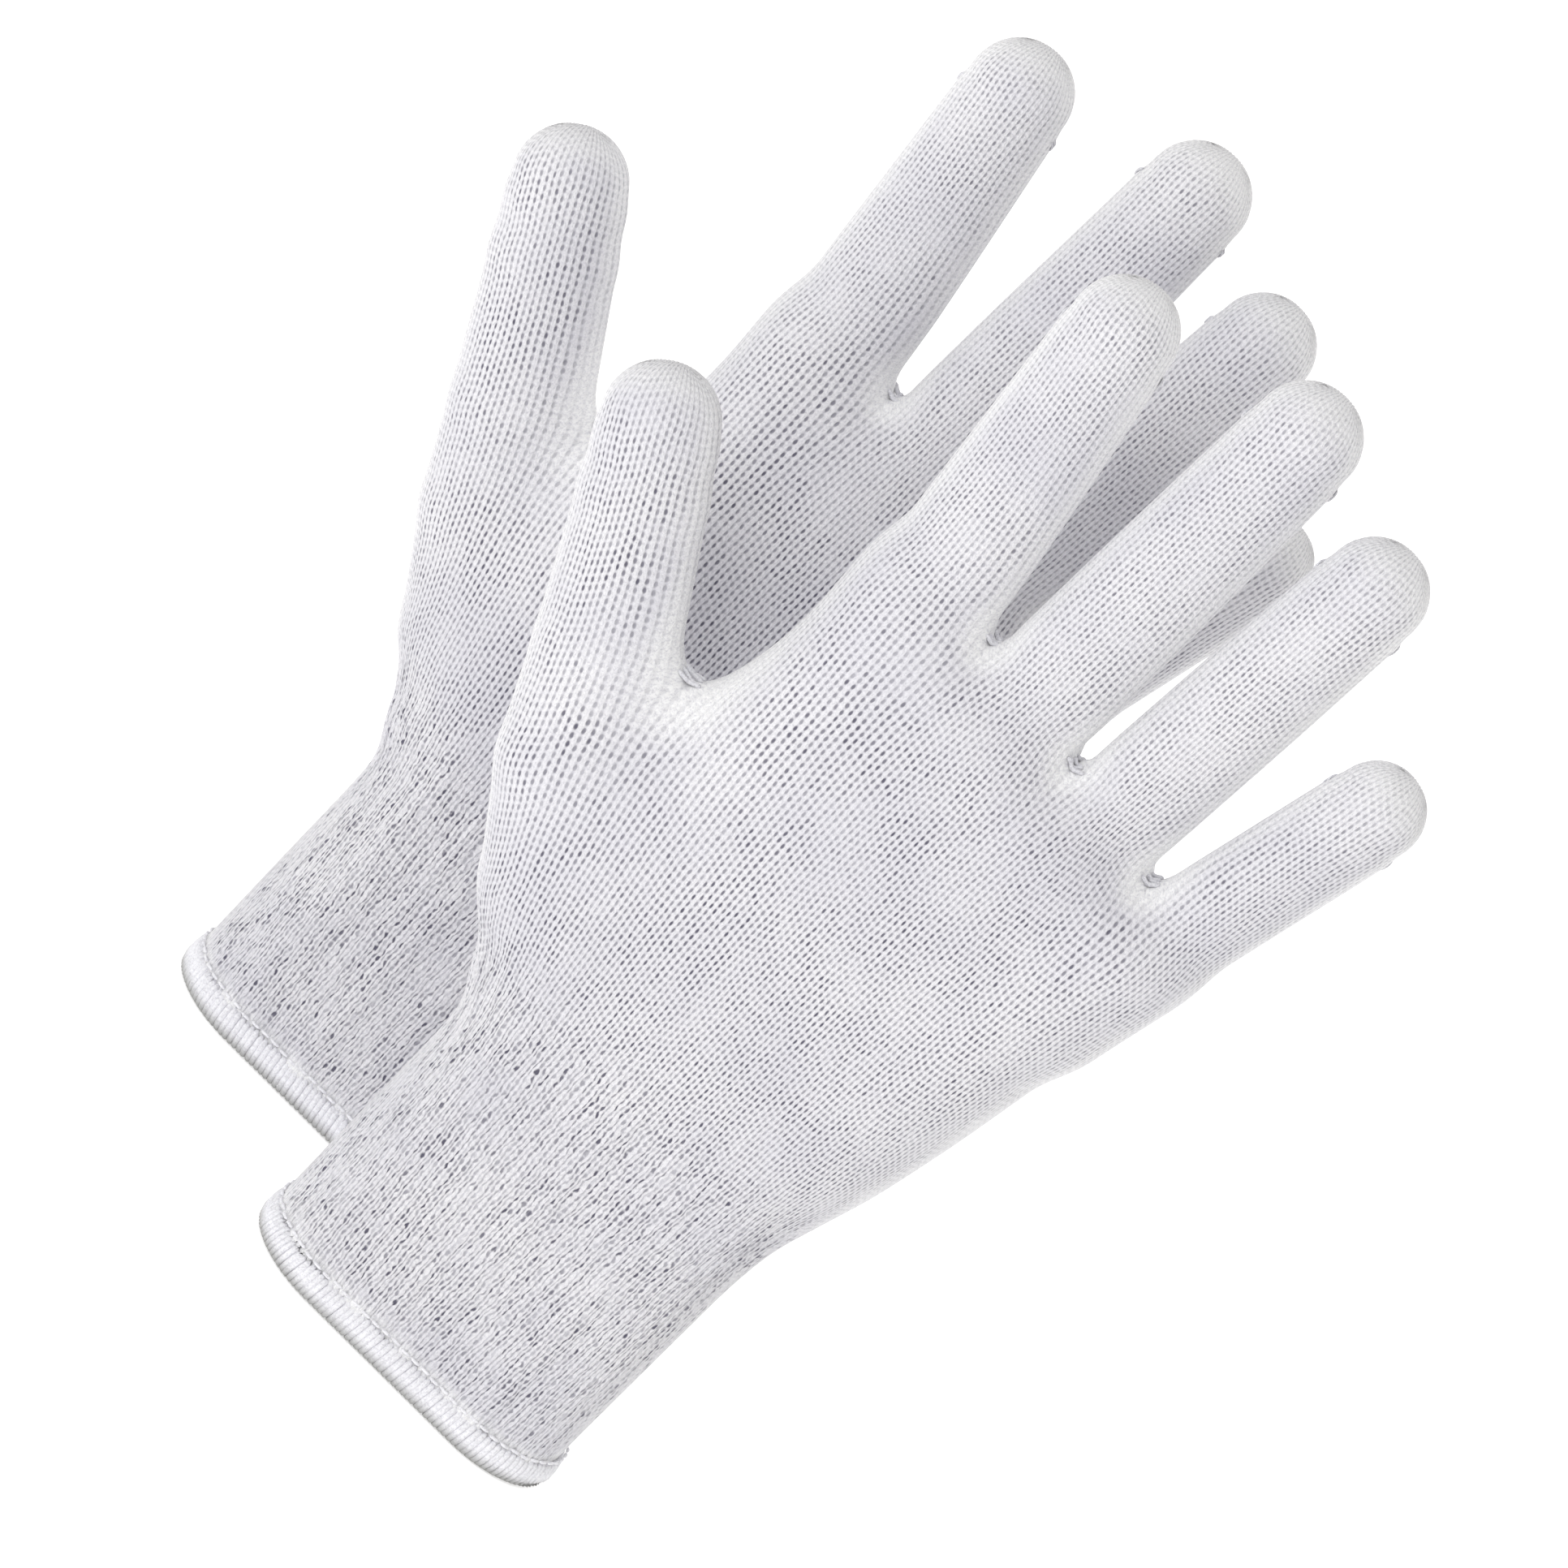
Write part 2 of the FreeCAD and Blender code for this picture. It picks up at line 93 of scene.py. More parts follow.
# The palm and cuff without the thumb: height, left edge, right edge, half the thickness
PALM_SECTIONS = (
    (-10, -CUFF_HALF_WIDTH, CUFF_HALF_WIDTH, CUFF_HALF_DEPTH),
    (50, -CUFF_HALF_WIDTH, CUFF_HALF_WIDTH, CUFF_HALF_DEPTH),
    (60, -34.2, 34.0, 16.0),
    (70, -38.0, 36.2, 16.2),
    (80, -40.5, 39.4, 16.6),
    (90, -42.0, 41.5, 16.8),
    (100, -43.5, 43.5, 17.0),
    (110, -44.0, 45.1, 17.0),
    (120, -42.0, 46.7, 16.8),
    (130, -40.0, 48.2, 16.5),
    (140, -38.0, 50.2, 15.8),
    (150, -37.0, 52.6, 14.8),
    (160, -37.2, 54.6, 13.2),
    (175, -37.6, 55.2, 12.0),
)
SECTION_STEP = 1.0
SECTION_BLUR = 9  # steps
CREST_MIDDLE = 8.5
CREST_HEIGHT = 160.0
CREST_SLOPE = math.radians(12.3)
CREST_ROUNDING = 10.0
FINGER_GAP_ROUNDING = 2.5
FINGER_WEB_ROUNDING = 7.0
THUMB_WEB_ROUNDING = 12.0
THUMB_BALL_ROUNDING = 1.0

# The ball of the thumb: across, height, radius and how far it stands towards the palm
THUMB_BALL = (
    (-31.0, 68.0, 6.5, 0.0),
    (-37.3, 81.0, 12.0, 2.0),
    (-48.0, 100.1, 14.0, 3.0),
)
THUMB_ROOT = (-58.0, 117.5, 12.6, 1.0)

WALL = 1.4
CUFF_BOTTOM = 1.2
CUFF_TOP = 66.0
COURSE = 1.5  # the height of one course of stitches

# ---------------------------------------------------------------------------------------------------------
# The knit as a lattice of wales and courses, slit between the digits and closed at their ends
# ---------------------------------------------------------------------------------------------------------

WALES = 24  # on each face of each digit
FIRST_WALES = 12
FIRST_COURSES = 4  # courses to each row of the first lattice
THUMB_CROTCH = 20  # rows of the first lattice up from the cuff edge
FINGER_CROTCH = 27
CROTCH_ROWS = (THUMB_CROTCH, FINGER_CROTCH, FINGER_CROTCH, 26)
TIP_ROWS = (29, 40, 41, 39, 35)
TIP_CLOSURE = 0.42  # half the width of the closed end, as a share of the tip's radius
FIRST_CUFF_WIDTH = 33  # half of it, before the lattice is relaxed
FIRST_CUFF_DEPTH = 15
FIRST_ROOT_DEPTH = 8.0  # how far below its knuckle a digit first turns round
FIRST_REACH = 0.98  # how far into its round end a digit's columns first reach, as a share of the radius
SMOOTHING_ROUNDS = (420, 160, 70)
SMOOTHING_STEP = 0.75
SIDE_PULL = 0.45  # how hard the knit pulls at a finger's sides, where the palm's pulls by 1
MIDDLE_PULL = 1.1  # how much harder it pulls along a finger's middle
PULL_ROWS = 4  # rows over which the palm's pull turns into the finger's

WALE_RELIEF = 0.16
RIB_RELIEF = 0.26
RIB_FADE = (60.0, 82.0)
FOLD_RELIEF = 0.78
DRAPE_RELIEF = 0.3
CUFF_SINK = 0.2
SIDE_OPENNESS = 0.42  # how open the stitches show on the glove's sides
FACE_OPENNESS = 0.58  # how much more on its palm and its back
TIP_CLOSED = (1.0, 14.0)  # distances from the tip over which the stitches open
TIP_OPENNESS = 0.42
CROTCH_CLOSED = (18.0, 11.0, 11.0, 11.0)
CROTCH_OPENNESS = 0.3
HEM_CLOSED = (5.6, 9.6)
HEM_OPENNESS = 0.1
FINGER_TIGHT = (140.0, 185.0)  # heights over which the fingers' stitches close a little
FINGER_TIGHTER = 0.2


def digit_lines():
    """Each digit's hinge points, direction and round end, from the left glove's joints and boxes."""
    joints = {joint["name"]: joint for joint in frame["joints"]}
    lines = {}
    for finger in FINGERS:
        knuckle = np.array(joints[f"left_{finger}_knuckle_bend"]["pos_m"]) / MM
        middle = np.array(joints[f"left_{finger}_joint_bend"]["pos_m"]) / MM
        direction = (middle - knuckle) / np.linalg.norm(middle - knuckle)
        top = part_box(f"left_{finger}_tip")[1].z / MM - DIGIT_RADII[finger][2]
        end = knuckle + direction * (top - knuckle[2]) / direction[2]
        lines[finger] = {"knuckle": knuckle, "middle": middle, "direction": direction, "end": end}
    return lines


LINES = digit_lines()


def smooth_table():
    """The palm's sections at every SECTION_STEP, blurred so that no section shows as a ring."""
    rows = np.array(PALM_SECTIONS, float)
    heights = np.arange(rows[0, 0], rows[-1, 0] + SECTION_STEP, SECTION_STEP)
    weights = np.hanning(2 * SECTION_BLUR + 1)
    weights /= weights.sum()
    columns = []
    for column in (1, 2, 3):
        values = np.interp(heights, rows[:, 0], rows[:, column])
        padded = np.pad(values, SECTION_BLUR, mode="edge")
        columns.append(np.convolve(padded, weights, mode="valid"))
    return heights, columns


TABLE_HEIGHTS, TABLE_COLUMNS = smooth_table()


def smooth_min(a, b, rounding):
    share = np.clip(0.5 + 0.5 * (b - a) / rounding, 0, 1)
    return b + (a - b) * share - rounding * share * (1 - share)


def smooth_max(a, b, rounding):
    return -smooth_min(-a, -b, rounding)


def palm_distance(points):
    left, right, depth = (np.interp(points[:, 2], TABLE_HEIGHTS, column) for column in TABLE_COLUMNS)
    nearest = np.clip(points[:, 0], left + depth, right - depth)
    return np.hypot(points[:, 0] - nearest, points[:, 1]) - depth


def crest_distance(points):
    above = (points[:, 2] - CREST_HEIGHT) * math.cos(CREST_SLOPE)
    return above + (points[:, 0] - CREST_MIDDLE) * math.sin(CREST_SLOPE)


def rod_distance(points, start, end, stops, radii):
    """Distance to a rod from start to end whose radius changes at stops along it."""
    length = np.linalg.norm(end - start)
    direction = (end - start) / length
    along = (points - start) @ direction
    inside = np.clip(along, 0, length)
    off = points - start - inside[:, None] * direction
    return np.linalg.norm(off, axis=1) - np.interp(inside, stops, radii)


def finger_distance(points, finger):
    line = LINES[finger]
    start = line["knuckle"] - line["direction"] * FINGER_DEPTH
    root, middle, end = DIGIT_RADII[finger]
    length = np.linalg.norm(line["end"] - start)
    stops = [FINGER_DEPTH, FINGER_DEPTH + np.linalg.norm(line["middle"] - line["knuckle"])]
    stops += [length - TIP_SHOULDER, length - TIP_SHOULDER / 3, length]
    return rod_distance(points, start, line["end"], stops, (root, middle, end + SHOULDER_SWELL, end, end))


def thumb_distance(points):
    line = LINES["thumb"]
    chain = [(np.array([x, -y, z]), radius) for x, z, radius, y in THUMB_BALL + (THUMB_ROOT,)]
    chain.append((line["middle"], DIGIT_RADII["thumb"][1]))
    tip_radius = DIGIT_RADII["thumb"][2]
    chain.append((line["end"] - line["direction"] * TIP_SHOULDER, tip_radius + SHOULDER_SWELL))
    chain.append((line["end"], tip_radius))
    nearest = None
    for (start, start_radius), (end, end_radius) in zip(chain[:-1], chain[1:]):
        stops = (0, np.linalg.norm(end - start))
        distance = rod_distance(points, start, end, stops, (start_radius, end_radius))
        nearest = distance if nearest is None else smooth_min(nearest, distance, THUMB_BALL_ROUNDING)
    return nearest


def glove_distance(points):
    """Signed distance, roughly, to the glove's outer surface."""
    fingers = finger_distance(points, "index")
    for finger in ("middle", "ring", "little"):
        fingers = smooth_min(fingers, finger_distance(points, finger), FINGER_GAP_ROUNDING)
    palm = smooth_max(palm_distance(points), crest_distance(points), CREST_ROUNDING)
    hand = smooth_min(palm, fingers, FINGER_WEB_ROUNDING)
    return smooth_min(hand, thumb_distance(points), THUMB_WEB_ROUNDING)


def onto_surface(points, rounds=1):
    """The points moved down the distance's slope onto the surface, and the outward directions there."""
    step = 0.05
    for _ in range(rounds):
        here = glove_distance(points)
        slope = np.empty_like(points)
        for axis in range(3):
            beside = points.copy()
            beside[:, axis] += step
            slope[:, axis] = (glove_distance(beside) - here) / step
        size = np.maximum(np.linalg.norm(slope, axis=1), 0.3)[:, None]
        points = points - slope / size * (here[:, None] / size)
    return points, slope / size


def lattice(wales, courses):
    """Grids of vertex numbers, one for each face of each digit, with shared numbers where the knit is one."""
    grids = {}
    count = 0
    for side in (FRONT, BACK):
        for digit in range(5):
            top = TIP_ROWS[digit] * courses
            grid = np.full((wales + 1, top + 1), -1)
            left_slit = CROTCH_ROWS[digit - 1] * courses if digit > 0 else 0
            right_slit = CROTCH_ROWS[digit] * courses if digit < 4 else 0
            if digit > 0:
                grid[0, : left_slit + 1] = grids[side, digit - 1][wales, : left_slit + 1]
            if side == BACK:
                front = grids[FRONT, digit]
                grid[:, top] = front[:, top]
                grid[0, left_slit:] = front[0, left_slit:]
                grid[wales, right_slit:] = front[wales, right_slit:]
            fresh = grid < 0
            grid[fresh] = np.arange(count, count + fresh.sum())
            count += int(fresh.sum())
            grids[side, digit] = grid
    return grids, count


def first_points(grids, count):
    """A rough glove: straight columns up the palm, and round digits."""
    points = np.zeros((count, 3))
    for (side, digit), grid in grids.items():
        line = LINES[FINGERS[digit]]
        radii = DIGIT_RADII[FINGERS[digit]]
        columns, rows = grid.shape[0] - 1, grid.shape[1] - 1
        root_row = THUMB_CROTCH if digit == 0 else FINGER_CROTCH
        root = line["knuckle"] - line["direction"] * FIRST_ROOT_DEPTH
        across = np.array([line["direction"][2], 0, -line["direction"][0]])
        share = np.linspace(0, 1, columns + 1)
        turn = math.pi * share
        sign = -1 if side == FRONT else 1
        for row in range(rows + 1):
            if row <= root_row:
                up = row / root_row
                cuff_share = (digit + share) / 5
                cuff_x = -FIRST_CUFF_WIDTH * np.cos(math.pi * cuff_share)
                cuff_y = sign * FIRST_CUFF_DEPTH * np.sin(math.pi * cuff_share)
                top = root[0] - radii[0] * np.cos(turn)
                x = cuff_x * (1 - up) + top * up
                y = cuff_y * (1 - up) + sign * radii[0] * np.sin(turn) * up
                z = CUFF_BOTTOM + (root[2] - CUFF_BOTTOM) * up + 0 * x
                points[grid[:, row]] = np.stack([x, y, z], 1)
            else:
                up = (row - root_row) / (rows - root_row)
                reach = np.linalg.norm(line["end"] - root) + radii[2] * FIRST_REACH
                middle = root + line["direction"] * reach * up
                into_end = max(0.0, (up * reach - reach + radii[2]) / radii[2])
                radius = radii[2] * math.sqrt(max(0.0, 1 - into_end**2))
                width = max(radius, radii[2] * TIP_CLOSURE)
                ring = middle - across * (width * np.cos(turn))[:, None]
                ring[:, 1] += sign * radius * np.sin(turn)
                points[grid[:, row]] = ring
        end = line["end"] + line["direction"] * radii[2]
        points[grid[:, rows]] = end - across * (radii[2] * TIP_CLOSURE * np.cos(turn))[:, None]
    return points


def finer_points(old_grids, old_points, grids, count):
    """The old lattice's points, and points between them, on a lattice twice as fine each way."""
    points = np.zeros((count, 3))
    for key, grid in grids.items():
        old = old_points[old_grids[key]]
        wide = np.empty((grid.shape[0], old.shape[1], 3))
        wide[::2] = old
        wide[1::2] = (old[1:] + old[:-1]) / 2
        full = np.empty((grid.shape[0], grid.shape[1], 3))
        full[:, ::2] = wide
        full[:, 1::2] = (wide[:, 1:] + wide[:, :-1]) / 2
        points[grid] = full
    return points


def cuff_edge_turn(grids, points):
    """Spreads the cuff edge's points evenly round a stadium and returns their numbers."""
    edge = []
    for side in (FRONT, BACK):
        ring = np.concatenate([grids[side, digit][: None if digit == 4 else -1, 0] for digit in range(5)])
        half = stadium_line(CUFF_HALF_WIDTH, CUFF_HALF_DEPTH, len(ring))
        points[ring, 0] = half[:, 0]
        points[ring, 1] = half[:, 1] * (-1 if side == FRONT else 1)
        points[ring, 2] = CUFF_BOTTOM
        edge.append(ring)
    return np.unique(np.concatenate(edge))


def stadium_line(half_width, radius, count):
    """Points evenly spaced along half a stadium, from its left end over its top to its right end."""
    flat = half_width - radius
    quarter = math.pi / 2 * radius
    whole = 2 * quarter + 2 * flat
    rows = []
    for distance in np.linspace(0, whole, count):
        if distance < quarter:
            turn = distance / radius
            rows.append((-flat - radius * math.cos(turn), radius * math.sin(turn)))
        elif distance < quarter + 2 * flat:
            rows.append((-flat + distance - quarter, radius))
        else:
            turn = (distance - quarter - 2 * flat) / radius
            rows.append((flat + radius * math.sin(turn), radius * math.cos(turn)))
    return np.array(rows)


def lattice_edges(grids):
    """Every edge of the lattice once, and how hard it pulls: a finger's knit is stretched at its sides."""
    pairs = []
    pulls = []
    for (_, digit), grid in grids.items():
        columns, rows = grid.shape
        pairs.append(np.stack([grid[:, :-1].ravel(), grid[:, 1:].ravel()], 1))
        pulls.append(np.ones(len(pairs[-1])))
        pairs.append(np.stack([grid[:-1].ravel(), grid[1:].ravel()], 1))
        share = (np.arange(columns - 1) + 0.5) / (columns - 1)
        height = np.arange(rows) / (rows - 1) * TIP_ROWS[digit]
        root = CROTCH_ROWS[min(digit, 3)] if digit else THUMB_CROTCH
        finger = np.clip((height - root + 1) / PULL_ROWS, 0, 1)
        pull = 1 + finger[None, :] * (SIDE_PULL + MIDDLE_PULL * np.sin(math.pi * share)[:, None] - 1)
        pulls.append(pull.ravel())
    pairs = np.sort(np.concatenate(pairs), axis=1)
    pulls = np.concatenate(pulls)
    pairs, first = np.unique(pairs, axis=0, return_index=True)
    return pairs, pulls[first]


def relax(points, grids, fixed, rounds):
    """Evens out the lattice while it stays on the glove's surface."""
    pairs, pulls = lattice_edges(grids)
    count = len(points)
    a, b = pairs.T
    total = np.bincount(a, pulls, count) + np.bincount(b, pulls, count)
    free = np.ones(count, bool)
    free[fixed] = False
    for number in range(rounds):
        mean = np.empty_like(points)
        for axis in range(3):
            pulled = np.bincount(a, pulls * points[b, axis], count)
            pulled += np.bincount(b, pulls * points[a, axis], count)
            mean[:, axis] = pulled / total
        points[free] += SMOOTHING_STEP * (mean - points)[free]
        if number % 2 == 0 or number > rounds - 4:
            points[free] = onto_surface(points[free])[0]
    return points


def shaped_lattice():
    """The finished lattice: its grids, its points on the smooth surface, and the outward directions."""
    wales, courses = FIRST_WALES, 1
    grids, count = lattice(wales, courses)
    points = first_points(grids, count)
    points, _ = onto_surface(points, 3)
    for level, rounds in enumerate(SMOOTHING_ROUNDS):
        if level:
            old_grids, old_points = grids, points
            wales, courses = wales * 2, courses * 2
            grids, count = lattice(wales, courses)
            points = finer_points(old_grids, old_points, grids, count)
        edge = cuff_edge_turn(grids, points)
        tips = np.concatenate([grids[FRONT, digit][:, -1] for digit in range(5)])
        points = relax(points, grids, np.concatenate([edge, tips]), rounds)
    _, outward = onto_surface(points)
    return grids, points, outward


GRIDS, SMOOTH, OUTWARD = shaped_lattice()
WALE_STEPS = (GRIDS[FRONT, 0].shape[0] - 1) // WALES  # lattice columns to each wale


def knit_quads():
    """The lattice's faces, the wale and course at each of their corners, their digit and their row."""
    quads = []
    corners = []
    digits = []
    rows_of = []
    for (side, digit), grid in GRIDS.items():
        low = grid[:-1, :-1]
        faces = np.stack([low, grid[1:, :-1], grid[1:, 1:], grid[:-1, 1:]], 2)
        column, row = np.meshgrid(np.arange(low.shape[0]), np.arange(low.shape[1]), indexing="ij")
        wale = digit * WALES + column / WALE_STEPS
        width = 1 / WALE_STEPS
        uv = np.stack(
            [
                np.stack([wale, row], 2),
                np.stack([wale + width, row], 2),
                np.stack([wale + width, row + 1], 2),
                np.stack([wale, row + 1], 2),
            ],
            2,
        ).astype(float)
        uv[..., 0] += side * 5 * WALES
        if side == BACK:
            faces = faces[:, :, ::-1]
            uv = uv[:, :, ::-1]
        quads.append(faces.reshape(-1, 4))
        corners.append(uv.reshape(-1, 4, 2))
        digits.append(np.full(low.size, digit))
        rows_of.append(row.ravel())
    quads = np.concatenate(quads)
    corners = np.concatenate(corners)
    whole = np.array([len(set(face)) == 4 for face in quads.tolist()])
    return quads[whole], corners[whole], np.concatenate(digits)[whole], np.concatenate(rows_of)[whole]


QUADS, CORNERS, QUAD_DIGIT, QUAD_ROW = knit_quads()


def wave_noise(values, seed, count=5):
    """A smooth, seeded, irregular wave of one or more coordinates, from -1 to 1."""
    draw = np.random.RandomState(seed)
    total = np.zeros(len(values))
    for _ in range(count):
        total += np.sin(values @ draw.normal(0, 1, values.shape[1]) + draw.uniform(0, 6.28))
    return total / count


def knit_relief():
    """How far each lattice point stands out: wale ridges, the cuff's ribs and soft folds at the wrist."""
    wale = np.zeros(len(SMOOTH))
    for (side, digit), grid in GRIDS.items():
        column = np.arange(grid.shape[0]) / WALE_STEPS + digit * WALES + side * 5 * WALES
        wale[grid] = column[:, None]
    height = SMOOTH[:, 2]
    ridge = WALE_RELIEF * (0.5 - 0.5 * np.cos(2 * math.pi * wale))
    cuff = np.clip((RIB_FADE[1] - height) / (RIB_FADE[1] - RIB_FADE[0]), 0, 1)
    cuff = cuff * cuff * (3 - 2 * cuff)
    wander = wave_noise(SMOOTH * (0.02, 0.02, 0.05), 3)
    rib = RIB_RELIEF * (0.5 - 0.5 * np.cos(math.pi * (wale + 0.35 * wander))) * cuff
    folds = FOLD_RELIEF * wave_noise(SMOOTH * (0.42, 0.25, 0.035), 11, 7) * cuff
    drape = DRAPE_RELIEF * wave_noise(SMOOTH * (0.045, 0.03, 0.045), 5, 6) * (1 - cuff)
    return ridge + rib + folds + drape - CUFF_SINK * cuff, cuff


RELIEF, RIBBED = knit_relief()
OUTER = SMOOTH + OUTWARD * RELIEF[:, None]
INNER = SMOOTH - OUTWARD * WALL


def ramp(values, stops, least=0.0):
    """0 at the first stop and 1 at the second, evenly between, and never under least."""
    return np.clip((values - stops[0]) / (stops[1] - stops[0]), least, 1)


def open_stitches():
    """How open the stitches show, 0 to 1: less on the sides, at the tips and hem, and by the crotches."""
    height = SMOOTH[:, 2]
    facing = np.clip((np.abs(OUTWARD[:, 1]) - 0.4 + 0.3 * RIBBED) / 0.36, 0, 1)
    openness = SIDE_OPENNESS + FACE_OPENNESS * facing
    openness *= ramp(height, HEM_CLOSED, HEM_OPENNESS)
    for grid in GRIDS.values():
        below_tip = (grid.shape[1] - 1 - np.arange(grid.shape[1])) * COURSE
        near_tip = ramp(below_tip, TIP_CLOSED, TIP_OPENNESS)
        openness[grid] = np.minimum(openness[grid], near_tip[None, :])
    openness *= 1 - FINGER_TIGHTER * ramp(height, FINGER_TIGHT)
    for crotch, reach in zip(crotch_points(), CROTCH_CLOSED):
        away = np.linalg.norm(SMOOTH - crotch, axis=1)
        openness *= np.clip((away - reach * 0.25) / reach, CROTCH_OPENNESS, 1)
    return openness


def crotch_points():
    return [SMOOTH[GRIDS[FRONT, digit][0, CROTCH_ROWS[digit - 1] * FIRST_COURSES]] for digit in range(1, 5)]


OPENNESS = open_stitches()


def glove_matrix(side):
    """Places the left glove's millimetres in the frame, mirrored for the right glove."""
    low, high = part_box(f"{side}_hem_overlock")
    middle = (low + high) / 2
    flip = 1 if side == "left" else -1
    return Matrix.Translation((middle.x, middle.y, 0)) @ Matrix.Diagonal((MM, MM * flip, MM, 1))


# ---------------------------------------------------------------------------------------------------------
# Materials
# ---------------------------------------------------------------------------------------------------------


class Nodes:
    """Short calls for building one material's nodes."""

    def __init__(self, name):
        self.material = bpy.data.materials.new(name)
        self.material.use_nodes = True
        self.tree = self.material.node_tree
        self.shader = self.tree.nodes["Principled BSDF"]

    def add(self, kind, inputs=(), **settings):
        node = self.tree.nodes.new(kind)
        for key, value in settings.items():
            setattr(node, key, value)
        for place, value in dict(inputs).items():
            self.put(node.inputs[place], value)
        return node

    def put(self, socket, value):
        if isinstance(value, bpy.types.NodeSocket):
            self.tree.links.new(value, socket)
        else:
            socket.default_value = value

    def maths(self, operation, a, b=0.0, c=0.0):
        return self.add("ShaderNodeMath", {0: a, 1: b, 2: c}, operation=operation).outputs[0]

    def steps(self, value, low, high):
        """0 below low and 1 above high, smoothly between; low may be above high."""
        node = self.add("ShaderNodeMapRange", {0: value, 1: low, 2: high}, interpolation_type="SMOOTHSTEP")
        return node.outputs[0]

    def mix(self, share, a, b, blend_type="MIX"):
        node = self.add("ShaderNodeMix", data_type="RGBA", blend_type=blend_type)
        self.put(node.inputs[0], share)
        self.put(node.inputs[6], a)
        self.put(node.inputs[7], b)
        return node.outputs[2]

    def noise(self, vector, scale, detail=2.0, roughness=0.5):
        inputs = {"Vector": vector, "Scale": scale, "Detail": detail, "Roughness": roughness}
        return self.add("ShaderNodeTexNoise", inputs).outputs["Fac"]


def srgb(red, green, blue):
    """A colour on a screen, 0 to 255, as the linear colour that shaders take."""
    values = []
    for value in (red, green, blue):
        share = value / 255
        values.append(share / 12.92 if share <= 0.04045 else ((share + 0.055) / 1.055) ** 2.4)
    return (*values, 1.0)


YARN = srgb(231, 230, 233)
# Painted highlight: a lighter knit colour where the stitches show closed, on the sides and the round ends.
YARN_PAINTED_HIGHLIGHT = srgb(246, 246, 246)
YARN_SHADE = srgb(219, 218, 224)
# Fibre tone and painted shade: the fibres' random grey, and painted shade in the furrows and between the
# stitch legs.
FIBRE_TONE_AND_SHADE = srgb(182, 181, 191)
# Painted shade: the colour of the gaps between the loops, the shade seen through them.
GAP_SHADE = srgb(92, 90, 106)
OVERLOCK = srgb(240, 240, 244)
OVERLOCK_SHADE = srgb(200, 199, 206)
SEWING = srgb(226, 226, 230)
SEWING_SHADE = srgb(172, 171, 180)
ELASTIC = srgb(232, 231, 236)
ELASTIC_SHADE = srgb(190, 189, 198)
# Painted shade on the hem's underside: the overlock thread's lowest few millimetres painted greyer.
UNDERSIDE_SHADE = srgb(128, 128, 124)
UNDERSIDE_SHADE_HEIGHT = 0.0034
HEM_UNDERSIDE_SHADE = 0.9
THREAD_GRAIN = 2600.0
ELASTIC_GRAIN = 2200.0


